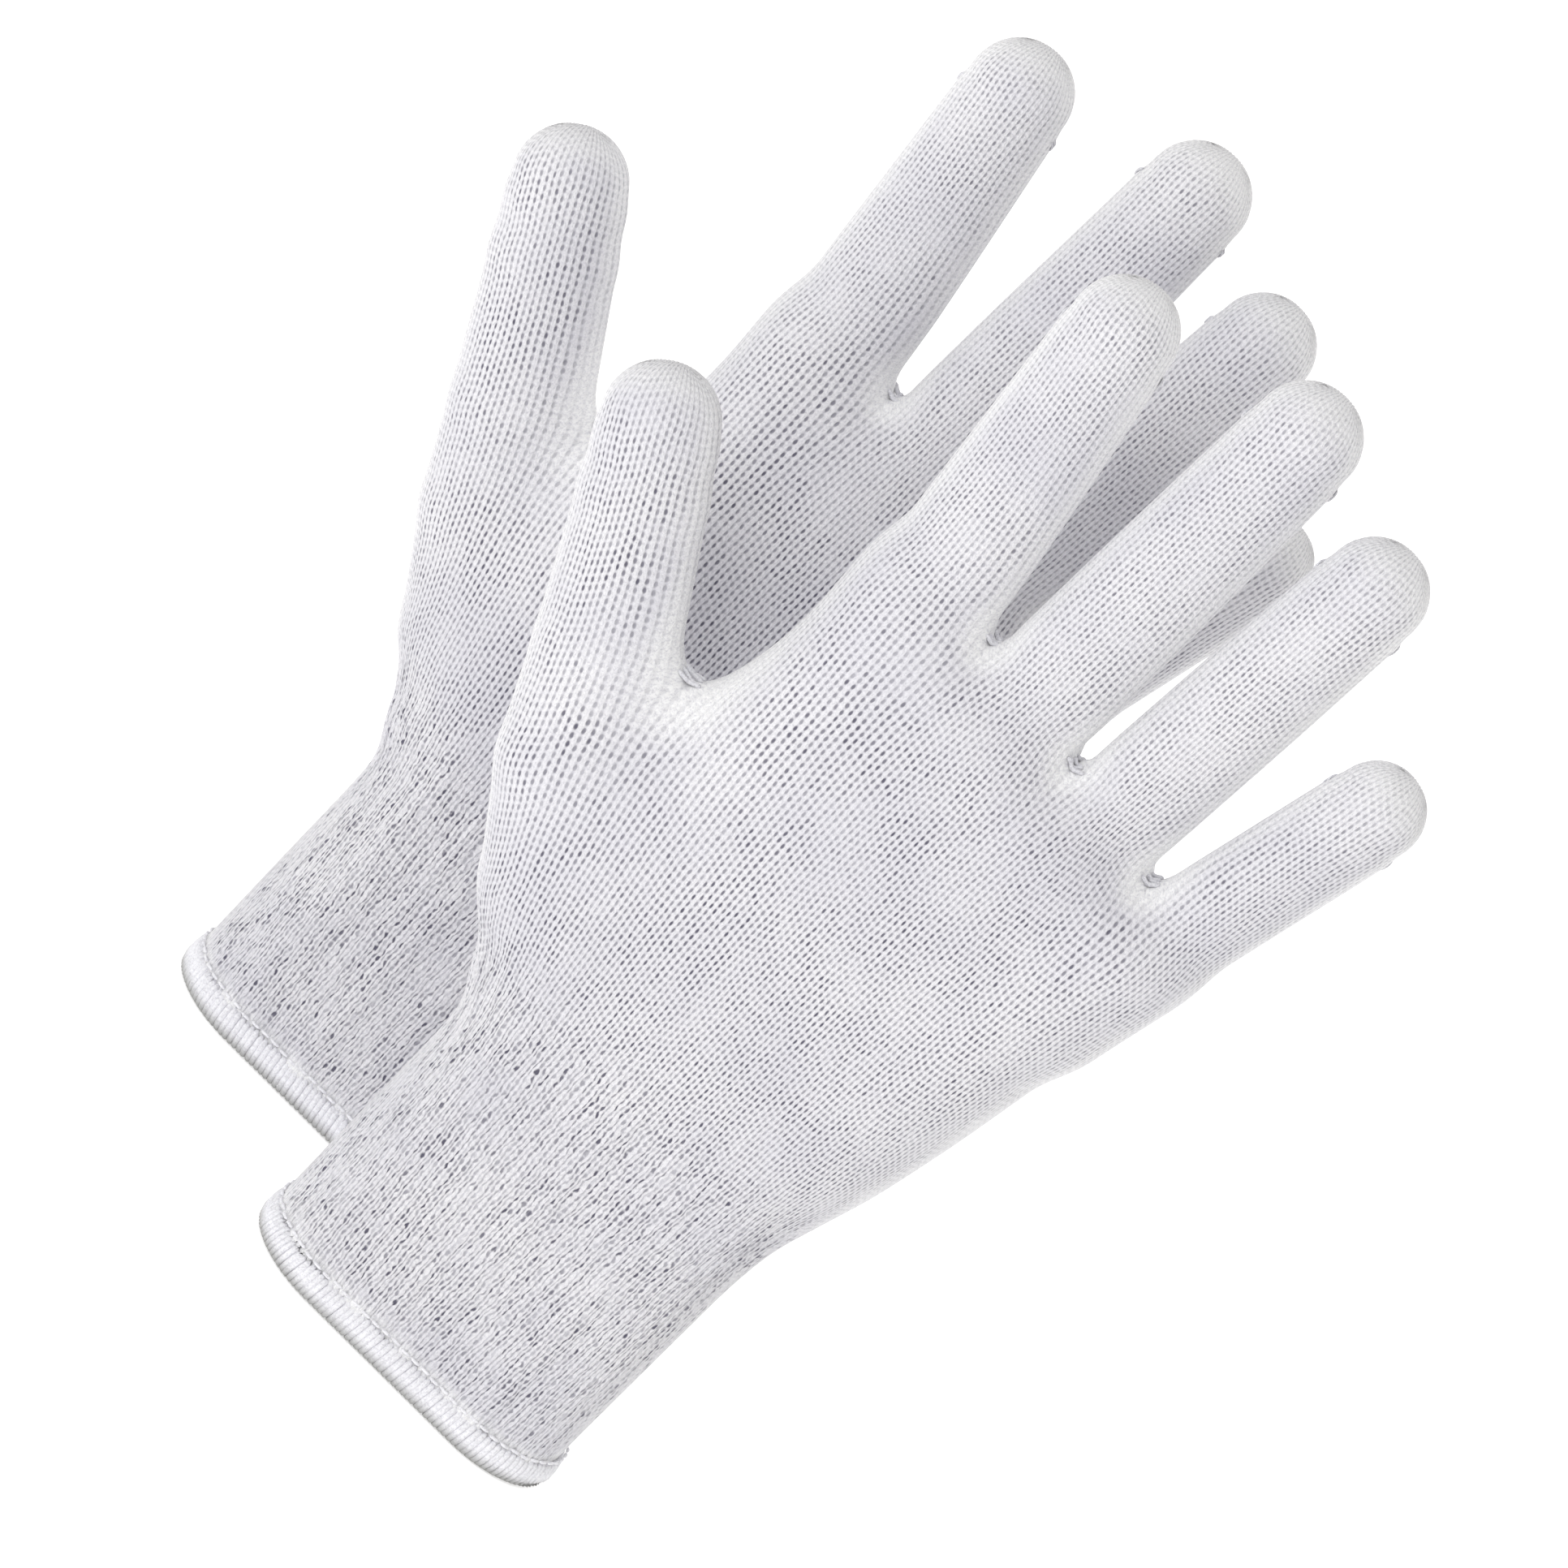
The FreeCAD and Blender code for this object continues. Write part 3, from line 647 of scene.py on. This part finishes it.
def knit_material(name):
    """Stitches drawn from the knit's wale and course: small gaps beside the wales painted dark as shade, and
    slanted legs, with painted shade in the furrows and between the legs and a painted highlight where the
    stitches close.
    """
    n = Nodes(name)
    uv = n.add("ShaderNodeUVMap", uv_map="knit").outputs[0]
    rest = n.add("ShaderNodeAttribute", attribute_name="rest").outputs["Vector"]
    faced = n.add("ShaderNodeAttribute", attribute_name="open").outputs["Fac"]
    ribbed = n.add("ShaderNodeAttribute", attribute_name="ribbed").outputs["Fac"]
    parts = n.add("ShaderNodeSeparateXYZ", {0: uv})
    wale = parts.outputs[0]
    course = parts.outputs[1]

    def in_cuff(value, change):
        """A value of the smooth knit, with its change in the cuff."""
        return n.maths("MULTIPLY_ADD", ribbed, change, value)

    # The wales wander a little, and more in the cuff
    stretched = n.add("ShaderNodeVectorMath", {0: uv, 1: (0.4, 0.16, 1)}, operation="MULTIPLY").outputs[0]
    wander = n.maths("SUBTRACT", n.noise(stretched, 1.0), 0.5)
    wale = n.maths("MULTIPLY_ADD", wander, in_cuff(0.45, 1.1), wale)
    uneven = n.add("ShaderNodeVectorMath", {0: uv, 1: (0.7, 0.7, 1)}, operation="MULTIPLY").outputs[0]
    uneven = n.maths("SUBTRACT", n.noise(uneven, 1.0), 0.5)
    wale = n.maths("MULTIPLY_ADD", uneven, in_cuff(0.25, 1.1), wale)
    furrow = n.maths("ROUND", wale)
    from_furrow = n.maths("ABSOLUTE", n.maths("SUBTRACT", wale, furrow))
    odd = n.maths("PINGPONG", furrow, 1.0)
    seed = n.add("ShaderNodeTexWhiteNoise", {"W": furrow}, noise_dimensions="1D").outputs["Value"]
    line = n.maths("ADD", course, seed)
    stitch = n.maths("ROUND", line)
    from_stitch = n.maths("ABSOLUTE", n.maths("SUBTRACT", line, stitch))
    cell = n.add("ShaderNodeCombineXYZ", {0: furrow, 1: stitch}).outputs[0]
    chance = n.add("ShaderNodeTexWhiteNoise", {0: cell}, noise_dimensions="2D").outputs["Value"]

    # The gaps: one to each stitch, long and broken in the cuff, where only every second furrow is deep
    wide = n.maths("DIVIDE", from_furrow, in_cuff(0.27, 0.04))
    tall = n.maths("DIVIDE", from_stitch, in_cuff(0.46, 0.08))
    away = n.maths("MULTIPLY_ADD", wide, wide, n.maths("MULTIPLY", tall, tall))
    gap = n.steps(away, 1.0, 0.1)
    patch = n.steps(n.noise(rest, 95.0, 3.0, 0.6), 0.3, 0.6)
    least = in_cuff(0.54, -0.16)
    strength = n.maths("MULTIPLY_ADD", chance, in_cuff(0.5, 0.5), least)
    strength = n.maths("MULTIPLY", strength, n.maths("MULTIPLY_ADD", patch, 0.45, 0.55))
    kept = n.maths("SUBTRACT", 1.0, n.maths("MULTIPLY", n.maths("MULTIPLY", odd, ribbed), 0.35))
    strength = n.maths("MULTIPLY", n.maths("MULTIPLY", strength, kept), in_cuff(1.0, -0.12))
    gap = n.maths("MULTIPLY", n.maths("MULTIPLY", gap, strength), faced)
    # Painted shade in the furrows between the wales.
    groove = n.maths("MULTIPLY", n.steps(from_furrow, 0.3, 0.0), faced)
    groove = n.maths("MULTIPLY", groove, in_cuff(0.42, -0.04))

    # The two slanted legs of each stitch, and the fibres
    leg = n.maths("ABSOLUTE", n.maths("SUBTRACT", n.maths("FRACT", wale), 0.5))
    slant = n.maths("FRACT", n.maths("MULTIPLY_ADD", leg, -1.1, line))
    legs = n.maths("SINE", n.maths("MULTIPLY", slant, math.pi))
    fine = n.add("ShaderNodeVectorMath", {0: uv, 1: (3.6, 3.2, 1)}, operation="MULTIPLY").outputs[0]
    fibres = n.noise(fine, 1.0, 4.0, 0.75)
    cloud = n.noise(rest, 38.0, 3.0, 0.55)

    colour = n.mix(n.steps(cloud, 0.3, 0.75), YARN, YARN_SHADE)
    # Painted highlight: lighter where the stitches show closed, on the glove's sides and round ends, by the
    # hem and the crotches.
    colour = n.mix(n.steps(faced, 0.75, 0.0), colour, YARN_PAINTED_HIGHLIGHT)
    colour = n.mix(n.maths("MULTIPLY", n.steps(fibres, 0.42, 0.7), 0.62), colour, FIBRE_TONE_AND_SHADE)
    # Painted shade between the stitch legs and, on the next line, in the furrows.
    colour = n.mix(n.maths("MULTIPLY", n.steps(legs, 0.5, 0.0), 0.2), colour, FIBRE_TONE_AND_SHADE)
    colour = n.mix(groove, colour, FIBRE_TONE_AND_SHADE)
    # Painted shade: the gaps between the loops painted dark.
    colour = n.mix(gap, colour, GAP_SHADE)
    n.put(n.shader.inputs["Base Color"], colour)

    height = n.maths("MULTIPLY_ADD", legs, 0.35, n.maths("MULTIPLY", fibres, 0.5))
    height = n.maths("SUBTRACT", height, n.maths("MULTIPLY_ADD", gap, 1.2, groove))
    bump = n.add("ShaderNodeBump", {"Strength": 0.6, "Distance": 0.0004, "Height": height})
    n.put(n.shader.inputs["Normal"], bump.outputs[0])
    n.put(n.shader.inputs["Roughness"], n.maths("MULTIPLY_ADD", fibres, 0.15, 0.8))
    n.shader.inputs["Sheen Weight"].default_value = 0.15
    n.shader.inputs["Sheen Roughness"].default_value = 0.6
    n.shader.inputs["Specular IOR Level"].default_value = 0.2
    return n.material


def yarn_material(name, light, dark, scale, underside_shade=0.0):
    """Twisted yarn: fine fibres, darker between them, and, with painted shade, greyer towards the cuff's very
    edge, on the hem's underside.
    """
    n = Nodes(name)
    rest = n.add("ShaderNodeAttribute", attribute_name="rest").outputs["Vector"]
    fibres = n.noise(rest, scale, 4.0, 0.7)
    cloud = n.noise(rest, scale / 12, 2.0, 0.5)
    colour = n.mix(n.steps(fibres, 0.4, 0.75), light, dark)
    colour = n.mix(n.maths("MULTIPLY", cloud, 0.3), colour, dark)
    if underside_shade:
        height = n.add("ShaderNodeSeparateXYZ", {0: rest}).outputs[2]
        # Painted shade: greyer towards the bottom of the hem, on its underside.
        colour = n.mix(n.maths("MULTIPLY", n.steps(height, UNDERSIDE_SHADE_HEIGHT, 0.0), underside_shade), colour, UNDERSIDE_SHADE)
    n.put(n.shader.inputs["Base Color"], colour)
    bump = n.add("ShaderNodeBump", {"Strength": 0.5, "Distance": 0.0002, "Height": fibres})
    n.put(n.shader.inputs["Normal"], bump.outputs[0])
    n.put(n.shader.inputs["Roughness"], n.maths("MULTIPLY_ADD", cloud, 0.2, 0.72))
    n.shader.inputs["Sheen Weight"].default_value = 0.25
    n.shader.inputs["Specular IOR Level"].default_value = 0.25
    return n.material


MATERIALS = {
    "glove_knit": knit_material("glove_knit"),
    "rib_knit": knit_material("rib_knit"),
    "overlock_thread": yarn_material("overlock_thread", OVERLOCK, OVERLOCK_SHADE, THREAD_GRAIN, HEM_UNDERSIDE_SHADE),
    "sewing_yarn": yarn_material("sewing_yarn", SEWING, SEWING_SHADE, THREAD_GRAIN),
    "elastic_yarn": yarn_material("elastic_yarn", ELASTIC, ELASTIC_SHADE, ELASTIC_GRAIN),
}


# ---------------------------------------------------------------------------------------------------------
# Pieces
# ---------------------------------------------------------------------------------------------------------


def new_piece(name, points, faces, side, material, uv=None, normals=None, shades=()):
    """A mesh object of one glove, from the left glove's millimetres."""
    matrix = np.array(glove_matrix(side))
    placed = points @ matrix[:3, :3].T + matrix[:3, 3]
    if side == "right":
        faces = [list(face)[::-1] for face in faces]
        uv = None if uv is None else [list(corner)[::-1] for corner in uv]
    mesh = bpy.data.meshes.new(name)
    mesh.from_pydata(placed.tolist(), [], [list(face) for face in faces])
    mesh.polygons.foreach_set("use_smooth", np.ones(len(faces), bool))
    if uv is not None:
        layer = mesh.uv_layers.new(name="knit")
        layer.data.foreach_set("uv", np.array([pair for face in uv for pair in face], np.float32).ravel())
    attribute = mesh.attributes.new("rest", "FLOAT_VECTOR", "POINT")
    attribute.data.foreach_set("vector", placed.astype(np.float32).ravel())
    for shade, values in dict(shades).items():
        attribute = mesh.attributes.new(shade, "FLOAT", "POINT")
        attribute.data.foreach_set("value", values.astype(np.float32))
    mesh.materials.append(MATERIALS[material])
    mesh.update()
    if normals is not None:
        turned = normals * (1, 1 if side == "left" else -1, 1)
        mesh.normals_split_custom_set_from_vertices(turned.tolist())
    thing = bpy.data.objects.new(name, mesh)
    bpy.context.scene.collection.objects.link(thing)
    return thing


def vertex_normals(points, quads):
    """Outward direction at each point, weighted by the faces round it."""
    a, b, c, d = (points[quads[:, corner]] for corner in range(4))
    face = np.cross(c - a, d - b)
    total = np.zeros_like(points)
    for corner in range(4):
        for axis in range(3):
            total[:, axis] += np.bincount(quads[:, corner], face[:, axis], len(points))
    return total / np.maximum(np.linalg.norm(total, axis=1), 1e-9)[:, None]


OUTER_NORMALS = vertex_normals(OUTER, QUADS)


def knit_shell(name, chosen, side, material):
    """One piece of the glove's wall, with its outside, its inside and its cut rims."""
    quads = QUADS[chosen]
    used, numbers = np.unique(quads, return_inverse=True)
    quads = numbers.reshape(-1, 4)
    count = len(used)
    points = np.concatenate([OUTER[used], INNER[used]])
    normals = np.concatenate([OUTER_NORMALS[used], -OUTWARD[used]])
    edges = {}
    for face in quads.tolist():
        for start, end in zip(face, face[1:] + face[:1]):
            edges[start, end] = True
    rims = [(end, start, start + count, end + count) for start, end in edges if (end, start) not in edges]
    faces = quads.tolist() + (quads[:, ::-1] + count).tolist() + rims
    corners = CORNERS[chosen]
    uv = corners.tolist() + corners[:, ::-1].tolist() + [[(0.0, 0.0)] * 4] * len(rims)
    shades = {"open": np.tile(OPENNESS[used], 2), "ribbed": np.tile(RIBBED[used], 2)}
    return new_piece(name, points, faces, side, material, uv, normals, shades)


def digit_splits():
    """For each digit, the lattice row where its base piece starts and the row where its tip piece starts."""
    splits = []
    for digit, finger in enumerate(FINGERS):
        line = LINES[finger]
        front, back = GRIDS[FRONT, digit], GRIDS[BACK, digit]
        along = [(SMOOTH[grid] - line["knuckle"]) @ line["direction"] for grid in (front, back)]
        highest = np.maximum(along[0].max(0), along[1].max(0))
        mean = (along[0].mean(0) + along[1].mean(0)) / 2
        apart = np.linalg.norm(line["middle"] - line["knuckle"])
        base = int(np.nonzero(highest < -KNUCKLE_BEND[finger][0])[0].max())
        tip = int(np.abs(mean - (KNUCKLE_BEND[finger][1] + apart - JOINT_BEND[finger]) / 2).argmin())
        splits.append((base, tip))
    return splits


SPLITS = digit_splits()


def bend_digit_piece(thing):
    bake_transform(thing)


def knit_pieces(side):
    """The palm, the rib cuff and ten digit pieces of one glove."""
    in_base = np.zeros(len(QUADS), bool)
    for digit, finger in enumerate(FINGERS):
        base_row, tip_row = SPLITS[digit]
        ours = QUAD_DIGIT == digit
        base = ours & (QUAD_ROW >= base_row) & (QUAD_ROW < tip_row)
        tip = ours & (QUAD_ROW >= tip_row)
        in_base |= base | tip
        piece = knit_shell(f"{side}_{finger}_stall_lower", base, side, "glove_knit")
        bend_digit_piece(piece)
        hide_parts(f"{side}_{finger}_knuckle", f"{side}_{finger}_base")
        piece = knit_shell(f"{side}_{finger}_stall_upper", tip, side, "glove_knit")
        bend_digit_piece(piece)
        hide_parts(f"{side}_{finger}_joint", f"{side}_{finger}_tip")
    cuff_row = round(CUFF_TOP / COURSE)
    cuff = ~in_base & (QUAD_ROW < cuff_row)
    piece = knit_shell(f"{side}_cuff_knit", cuff, side, "rib_knit")
    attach(piece, f"{side}_palm")
    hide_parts(f"{side}_rib_cuff")
    piece = knit_shell(f"{side}_palm_knit", ~in_base & (QUAD_ROW >= cuff_row), side, "glove_knit")
    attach(piece, f"{side}_palm")
    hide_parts(f"{side}_palm")


NO_THREAD_WAY = (0.31, 0.23, 0.92)  # a direction that no thread runs along
THREAD_END = 0.45  # the radius at a thread's ends, as a share of its radius


def thread(path, radius, sides=6, closed=False):
    """Points and faces of a round thread along a path of points, with rounded ends."""
    path = np.array(path, float)
    ahead = np.roll(path, -1, 0) - np.roll(path, 1, 0)
    if not closed:
        ahead[0] = path[1] - path[0]
        ahead[-1] = path[-1] - path[-2]
    ahead /= np.linalg.norm(ahead, axis=1)[:, None]
    side_way = np.cross(ahead, NO_THREAD_WAY)
    side_way /= np.linalg.norm(side_way, axis=1)[:, None]
    other_way = np.cross(ahead, side_way)
    turns = np.arange(sides) / sides * 2 * math.pi
    sizes = np.full(len(path), radius)
    if not closed:
        sizes[[0, -1]] = radius * THREAD_END
    points = []
    for centre, a, b, size in zip(path, side_way, other_way, sizes):
        points.extend(centre + size * (a * math.cos(turn) + b * math.sin(turn)) for turn in turns)
    faces = []
    count = len(path)
    for ring in range(count if closed else count - 1):
        low = ring * sides
        high = (ring + 1) % count * sides
        for spoke in range(sides):
            beside = (spoke + 1) % sides
            faces.append((low + spoke, low + beside, high + beside, high + spoke))
    if not closed:
        faces.append(tuple(reversed(range(sides))))
        faces.append(tuple(range((count - 1) * sides, count * sides)))
    return points, faces


def joined(parts):
    """Several threads' points and faces as one mesh's."""
    points = []
    faces = []
    for some_points, some_faces in parts:
        faces.extend(tuple(number + len(points) for number in face) for face in some_faces)
        points.extend(some_points)
    return np.array(points), faces


STITCH_PITCH = 1.12
HALF_HEM = 85.2  # half way round the hem, along its yarn
HEM_TOP = 5.6
HEM_STEPS = 4  # points of the ring to each stitch
HEM_LEAN = 2.2  # points of the ring to each 1 of slant in HEM_PROFILE
THREAD_RADIUS = 0.68
# One hem stitch: how far along its slant, how high and how far out from the cuff's edge
HEM_PROFILE = (
    (0.0, HEM_TOP + 0.3, -0.12),
    (0.25, HEM_TOP - 0.4, 0.24),
    (0.6, 3.8, 0.5),
    (1.0, 2.0, 0.52),
    (1.3, 1.0, 0.25),
    (1.5, 0.55, -0.7),
    (1.8, 1.0, -1.7),
    (2.2, 2.4, -2.0),
    (2.8, 4.6, -1.75),
)
CHAIN_STITCHES = 36  # on each face
CHAIN_STEPS = 12  # points of the ring to each stitch
CHAIN_ABOVE_HEM = 0.95
CHAIN_OUT = 0.32
CHAIN_RADIUS = 0.3
ELASTIC_SPACING = 4.0
ELASTIC_RADIUS = 0.32
ELASTIC_POINTS = 160
TACK_TURNS = 4
TACK_RADIUS = 0.42
TUFT_YARNS = 3
TUFT_RADIUS = 0.2


def cuff_ring(count, outward=0.0):
    """Points evenly round the cuff with their outward directions."""
    half = stadium_line(CUFF_HALF_WIDTH, CUFF_HALF_DEPTH, count // 2 + 1)
    around = np.concatenate([half, half[-2:0:-1] * (1, -1)])
    flat = CUFF_HALF_WIDTH - CUFF_HALF_DEPTH
    centre = np.clip(around[:, 0], -flat, flat)
    away = np.stack([around[:, 0] - centre, around[:, 1]], 1)
    away /= np.linalg.norm(away, axis=1)[:, None]
    return around + away * outward, away


def hem_stitches(side):
    """The overlocked hem: slanted yarn wrapped over the cuff's edge, one loop beside the next."""
    count = 2 * round(HALF_HEM / STITCH_PITCH)
    spots = count * HEM_STEPS
    ring, away = cuff_ring(spots)
    draw = np.random.RandomState(21)
    parts = []
    for number in range(count):
        jitter = draw.uniform(-0.35, 0.35, 3)
        path = []
        for along, height, out in HEM_PROFILE:
            place = (number * HEM_STEPS + along * HEM_LEAN + jitter[0]) % spots
            low = int(place)
            share = place - low
            after = (low + 1) % spots
            spot = ring[low] * (1 - share) + ring[after] * share
            normal = away[low] * (1 - share) + away[after] * share
            height += jitter[1] * 0.5 if height > 4 else 0.0
            path.append((*(spot + normal * (out + jitter[2] * 0.1)), height))
        parts.append(thread(path, THREAD_RADIUS))
    piece = new_piece(f"{side}_hem_whipping", *joined(parts), side, "overlock_thread")
    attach(piece, f"{side}_palm")
    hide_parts(f"{side}_hem_overlock")


def hem_chain(side):
    """The line of small stitches just above the overlocked hem."""
    count = 2 * CHAIN_STITCHES
    spots = count * CHAIN_STEPS
    ring, away = cuff_ring(spots, CHAIN_OUT)
    draw = np.random.RandomState(22)
    parts = []
    for number in range(count):
        height = HEM_TOP + CHAIN_ABOVE_HEM + draw.uniform(-0.18, 0.18)
        path = []
        for step in range(0, CHAIN_STEPS - 1, 2):
            spot = (number * CHAIN_STEPS + step) % spots
            bulge = away[spot] * 0.22 * math.sin(math.pi * step / 10)
            path.append((*(ring[spot] + bulge), height))
        parts.append(thread(path, CHAIN_RADIUS))
    piece = new_piece(f"{side}_hem_chain", *joined(parts), side, "overlock_thread")
    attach(piece, f"{side}_palm")
    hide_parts(f"{side}_hem_stitch")


def elastic_rings(side):
    """The elastic yarn laid in every few courses inside the cuff."""
    low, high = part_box(f"{side}_cuff_elastic")
    bottom, top = low.z / MM + 0.3, high.z / MM - 0.3
    ring, _ = cuff_ring(ELASTIC_POINTS, -WALL - 0.1)
    parts = []
    for height in np.arange(bottom, top + 0.1, ELASTIC_SPACING):
        parts.append(thread([(x, y, height) for x, y in ring], ELASTIC_RADIUS, closed=True))
    piece = new_piece(f"{side}_elastic_inlay", *joined(parts), side, "elastic_yarn")
    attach(piece, f"{side}_palm")
    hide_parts(f"{side}_cuff_elastic")


def crotch_stitches(side):
    """The yarn tacked across each crotch, and its loose twist."""
    draw = np.random.RandomState(23)
    parts = []
    for crotch in crotch_points():
        for _ in range(TACK_TURNS):
            slant = draw.uniform(-0.5, 0.5)
            depth = draw.uniform(-3.2, 3.2) - 1.0
            places = []
            for share in np.linspace(-1, 1, 9):
                places.append(crotch + (share * 2.6, depth + slant * share * 2, 0.8 * abs(share) - 0.4))
            placed, outward = onto_surface(np.array(places), 4)
            lift = 0.1 + 0.55 * np.cos(np.linspace(-1.4, 1.4, 9))
            parts.append(thread(placed + outward * lift[:, None], TACK_RADIUS))
    piece = new_piece(f"{side}_crotch_stitches", *joined(parts), side, "sewing_yarn")
    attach(piece, f"{side}_palm")
    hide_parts(f"{side}_crotch_tacks")


def end_knots(side):
    """The ends of the closing yarn, a little tuft each side of every digit where its tip starts to narrow."""
    draw = np.random.RandomState(24)
    for finger in FINGERS:
        line = LINES[finger]
        across = np.array([line["direction"][2], 0, -line["direction"][0]])
        middle = line["end"] - line["direction"] * TIP_SHOULDER
        radius = DIGIT_RADII[finger][2] + SHOULDER_SWELL
        parts = []
        for way in (-1, 1):
            for _ in range(TUFT_YARNS):
                lean = draw.uniform(-0.5, 0.5, 2)
                path = []
                for share in np.linspace(0, 1, 6):
                    turn = (share - 0.5) * 0.22 + lean[0] * 0.18
                    out = radius - 0.12 + 0.38 * math.sin(math.pi * share)
                    spot = middle + out * (across * way * math.cos(turn) + np.array([0, math.sin(turn), 0]))
                    path.append(spot + line["direction"] * (share * 2.2 - 1.1 + lean[1]))
                parts.append(thread(path, TUFT_RADIUS))
        piece = new_piece(f"{side}_{finger}_end_knots", *joined(parts), side, "sewing_yarn")
        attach(piece, f"{side}_{finger}_tip")


for glove in SIDES:
    knit_pieces(glove)
    end_knots(glove)
    hem_stitches(glove)
    hem_chain(glove)
    elastic_rings(glove)
    crotch_stitches(glove)

# ---------------------------------------------------------------------------------------------------------
# Camera, floor and light
# ---------------------------------------------------------------------------------------------------------

CAMERA_AZIMUTH = math.radians(-1.0)
CAMERA_ELEVATION = math.radians(18.8)
CAMERA_ROLL = math.radians(44.3)
CAMERA_DISTANCE = 2.0
CAMERA_TARGET = Vector((-0.0206, 0.0, 0.1228))
CAMERA_LENS = 269.8
FILM_WIDTH = 36.0
CAMERA_FAR = 50
FLOOR_HALF = 6.0
FLOOR_GREY = 0.93
FLOOR_GLOW = 0.5
GLOVES_MIDDLE = (-0.03, 0.02, 0.12)
# Each lamp's name, place, size, power and colour
LIGHTS = (
    ("key", (-0.7, -1.5, 1.1), 0.8, 13.2, (0.985, 0.99, 1.0)),
    ("back", (0.9, 1.5, 1.2), 1.0, 11.0, (1.0, 1.0, 1.0)),
)
# White at the horizon, as a studio's paper, and dimmer overhead
SKY_COLOUR = (1, 0.99, 0.958, 1)
SKY_FALL = (0.1, 0.3)  # how high the brightness starts and stops to fall
SKY_BRIGHTNESS = (1.06, 0.66)


def add_camera():
    ahead = Vector(
        (
            math.sin(CAMERA_AZIMUTH) * math.cos(CAMERA_ELEVATION),
            math.cos(CAMERA_AZIMUTH) * math.cos(CAMERA_ELEVATION),
            -math.sin(CAMERA_ELEVATION),
        )
    )
    level = Vector((math.cos(CAMERA_AZIMUTH), -math.sin(CAMERA_AZIMUTH), 0))
    upright = level.cross(ahead)
    right = level * math.cos(CAMERA_ROLL) + upright * math.sin(CAMERA_ROLL)
    up = upright * math.cos(CAMERA_ROLL) - level * math.sin(CAMERA_ROLL)
    data = bpy.data.cameras.new("camera")
    data.lens = CAMERA_LENS
    data.sensor_width = FILM_WIDTH
    data.clip_end = CAMERA_FAR
    camera = bpy.data.objects.new("camera", data)
    turned = Matrix((right, up, -ahead)).transposed()
    camera.matrix_world = Matrix.Translation(CAMERA_TARGET - ahead * CAMERA_DISTANCE) @ turned.to_4x4()
    bpy.context.scene.collection.objects.link(camera)
    bpy.context.scene.camera = camera


def add_floor():
    mesh = bpy.data.meshes.new("floor")
    half = FLOOR_HALF
    corners = [(-half, -half, 0), (half, -half, 0), (half, half, 0), (-half, half, 0)]
    mesh.from_pydata(corners, [], [(0, 1, 2, 3)])
    material = bpy.data.materials.new("floor")
    material.use_nodes = True
    shader = material.node_tree.nodes["Principled BSDF"]
    shader.inputs["Base Color"].default_value = (FLOOR_GREY, FLOOR_GREY, FLOOR_GREY, 1)
    shader.inputs["Roughness"].default_value = 0.9
    shader.inputs["Specular IOR Level"].default_value = 0.0
    shader.inputs["Emission Color"].default_value = (1, 1, 1, 1)
    shader.inputs["Emission Strength"].default_value = FLOOR_GLOW
    mesh.materials.append(material)
    floor = bpy.data.objects.new("floor", mesh)
    bpy.context.scene.collection.objects.link(floor)


def add_light(name, place, size, power, colour):
    data = bpy.data.lights.new(name, "AREA")
    data.size = size
    data.energy = power
    data.color = colour
    light = bpy.data.objects.new(name, data)
    light.location = place
    light.rotation_mode = "QUATERNION"
    light.rotation_quaternion = (Vector(GLOVES_MIDDLE) - Vector(place)).to_track_quat("-Z", "Y")
    bpy.context.scene.collection.objects.link(light)


def add_world():
    world = bpy.data.worlds.new("studio")
    world.use_nodes = True
    tree = world.node_tree
    background = tree.nodes["Background"]
    background.inputs["Color"].default_value = SKY_COLOUR
    direction = tree.nodes.new("ShaderNodeTexCoord")
    parts = tree.nodes.new("ShaderNodeSeparateXYZ")
    fall = tree.nodes.new("ShaderNodeMapRange")
    fall.interpolation_type = "SMOOTHSTEP"
    for place, value in enumerate(SKY_FALL + SKY_BRIGHTNESS, 1):
        fall.inputs[place].default_value = value
    tree.links.new(direction.outputs["Generated"], parts.inputs[0])
    tree.links.new(parts.outputs[2], fall.inputs[0])
    tree.links.new(fall.outputs[0], background.inputs["Strength"])
    bpy.context.scene.world = world


add_camera()
add_floor()
add_world()
for lamp in LIGHTS:
    add_light(*lamp)
bpy.context.scene.view_settings.view_transform = "Standard"
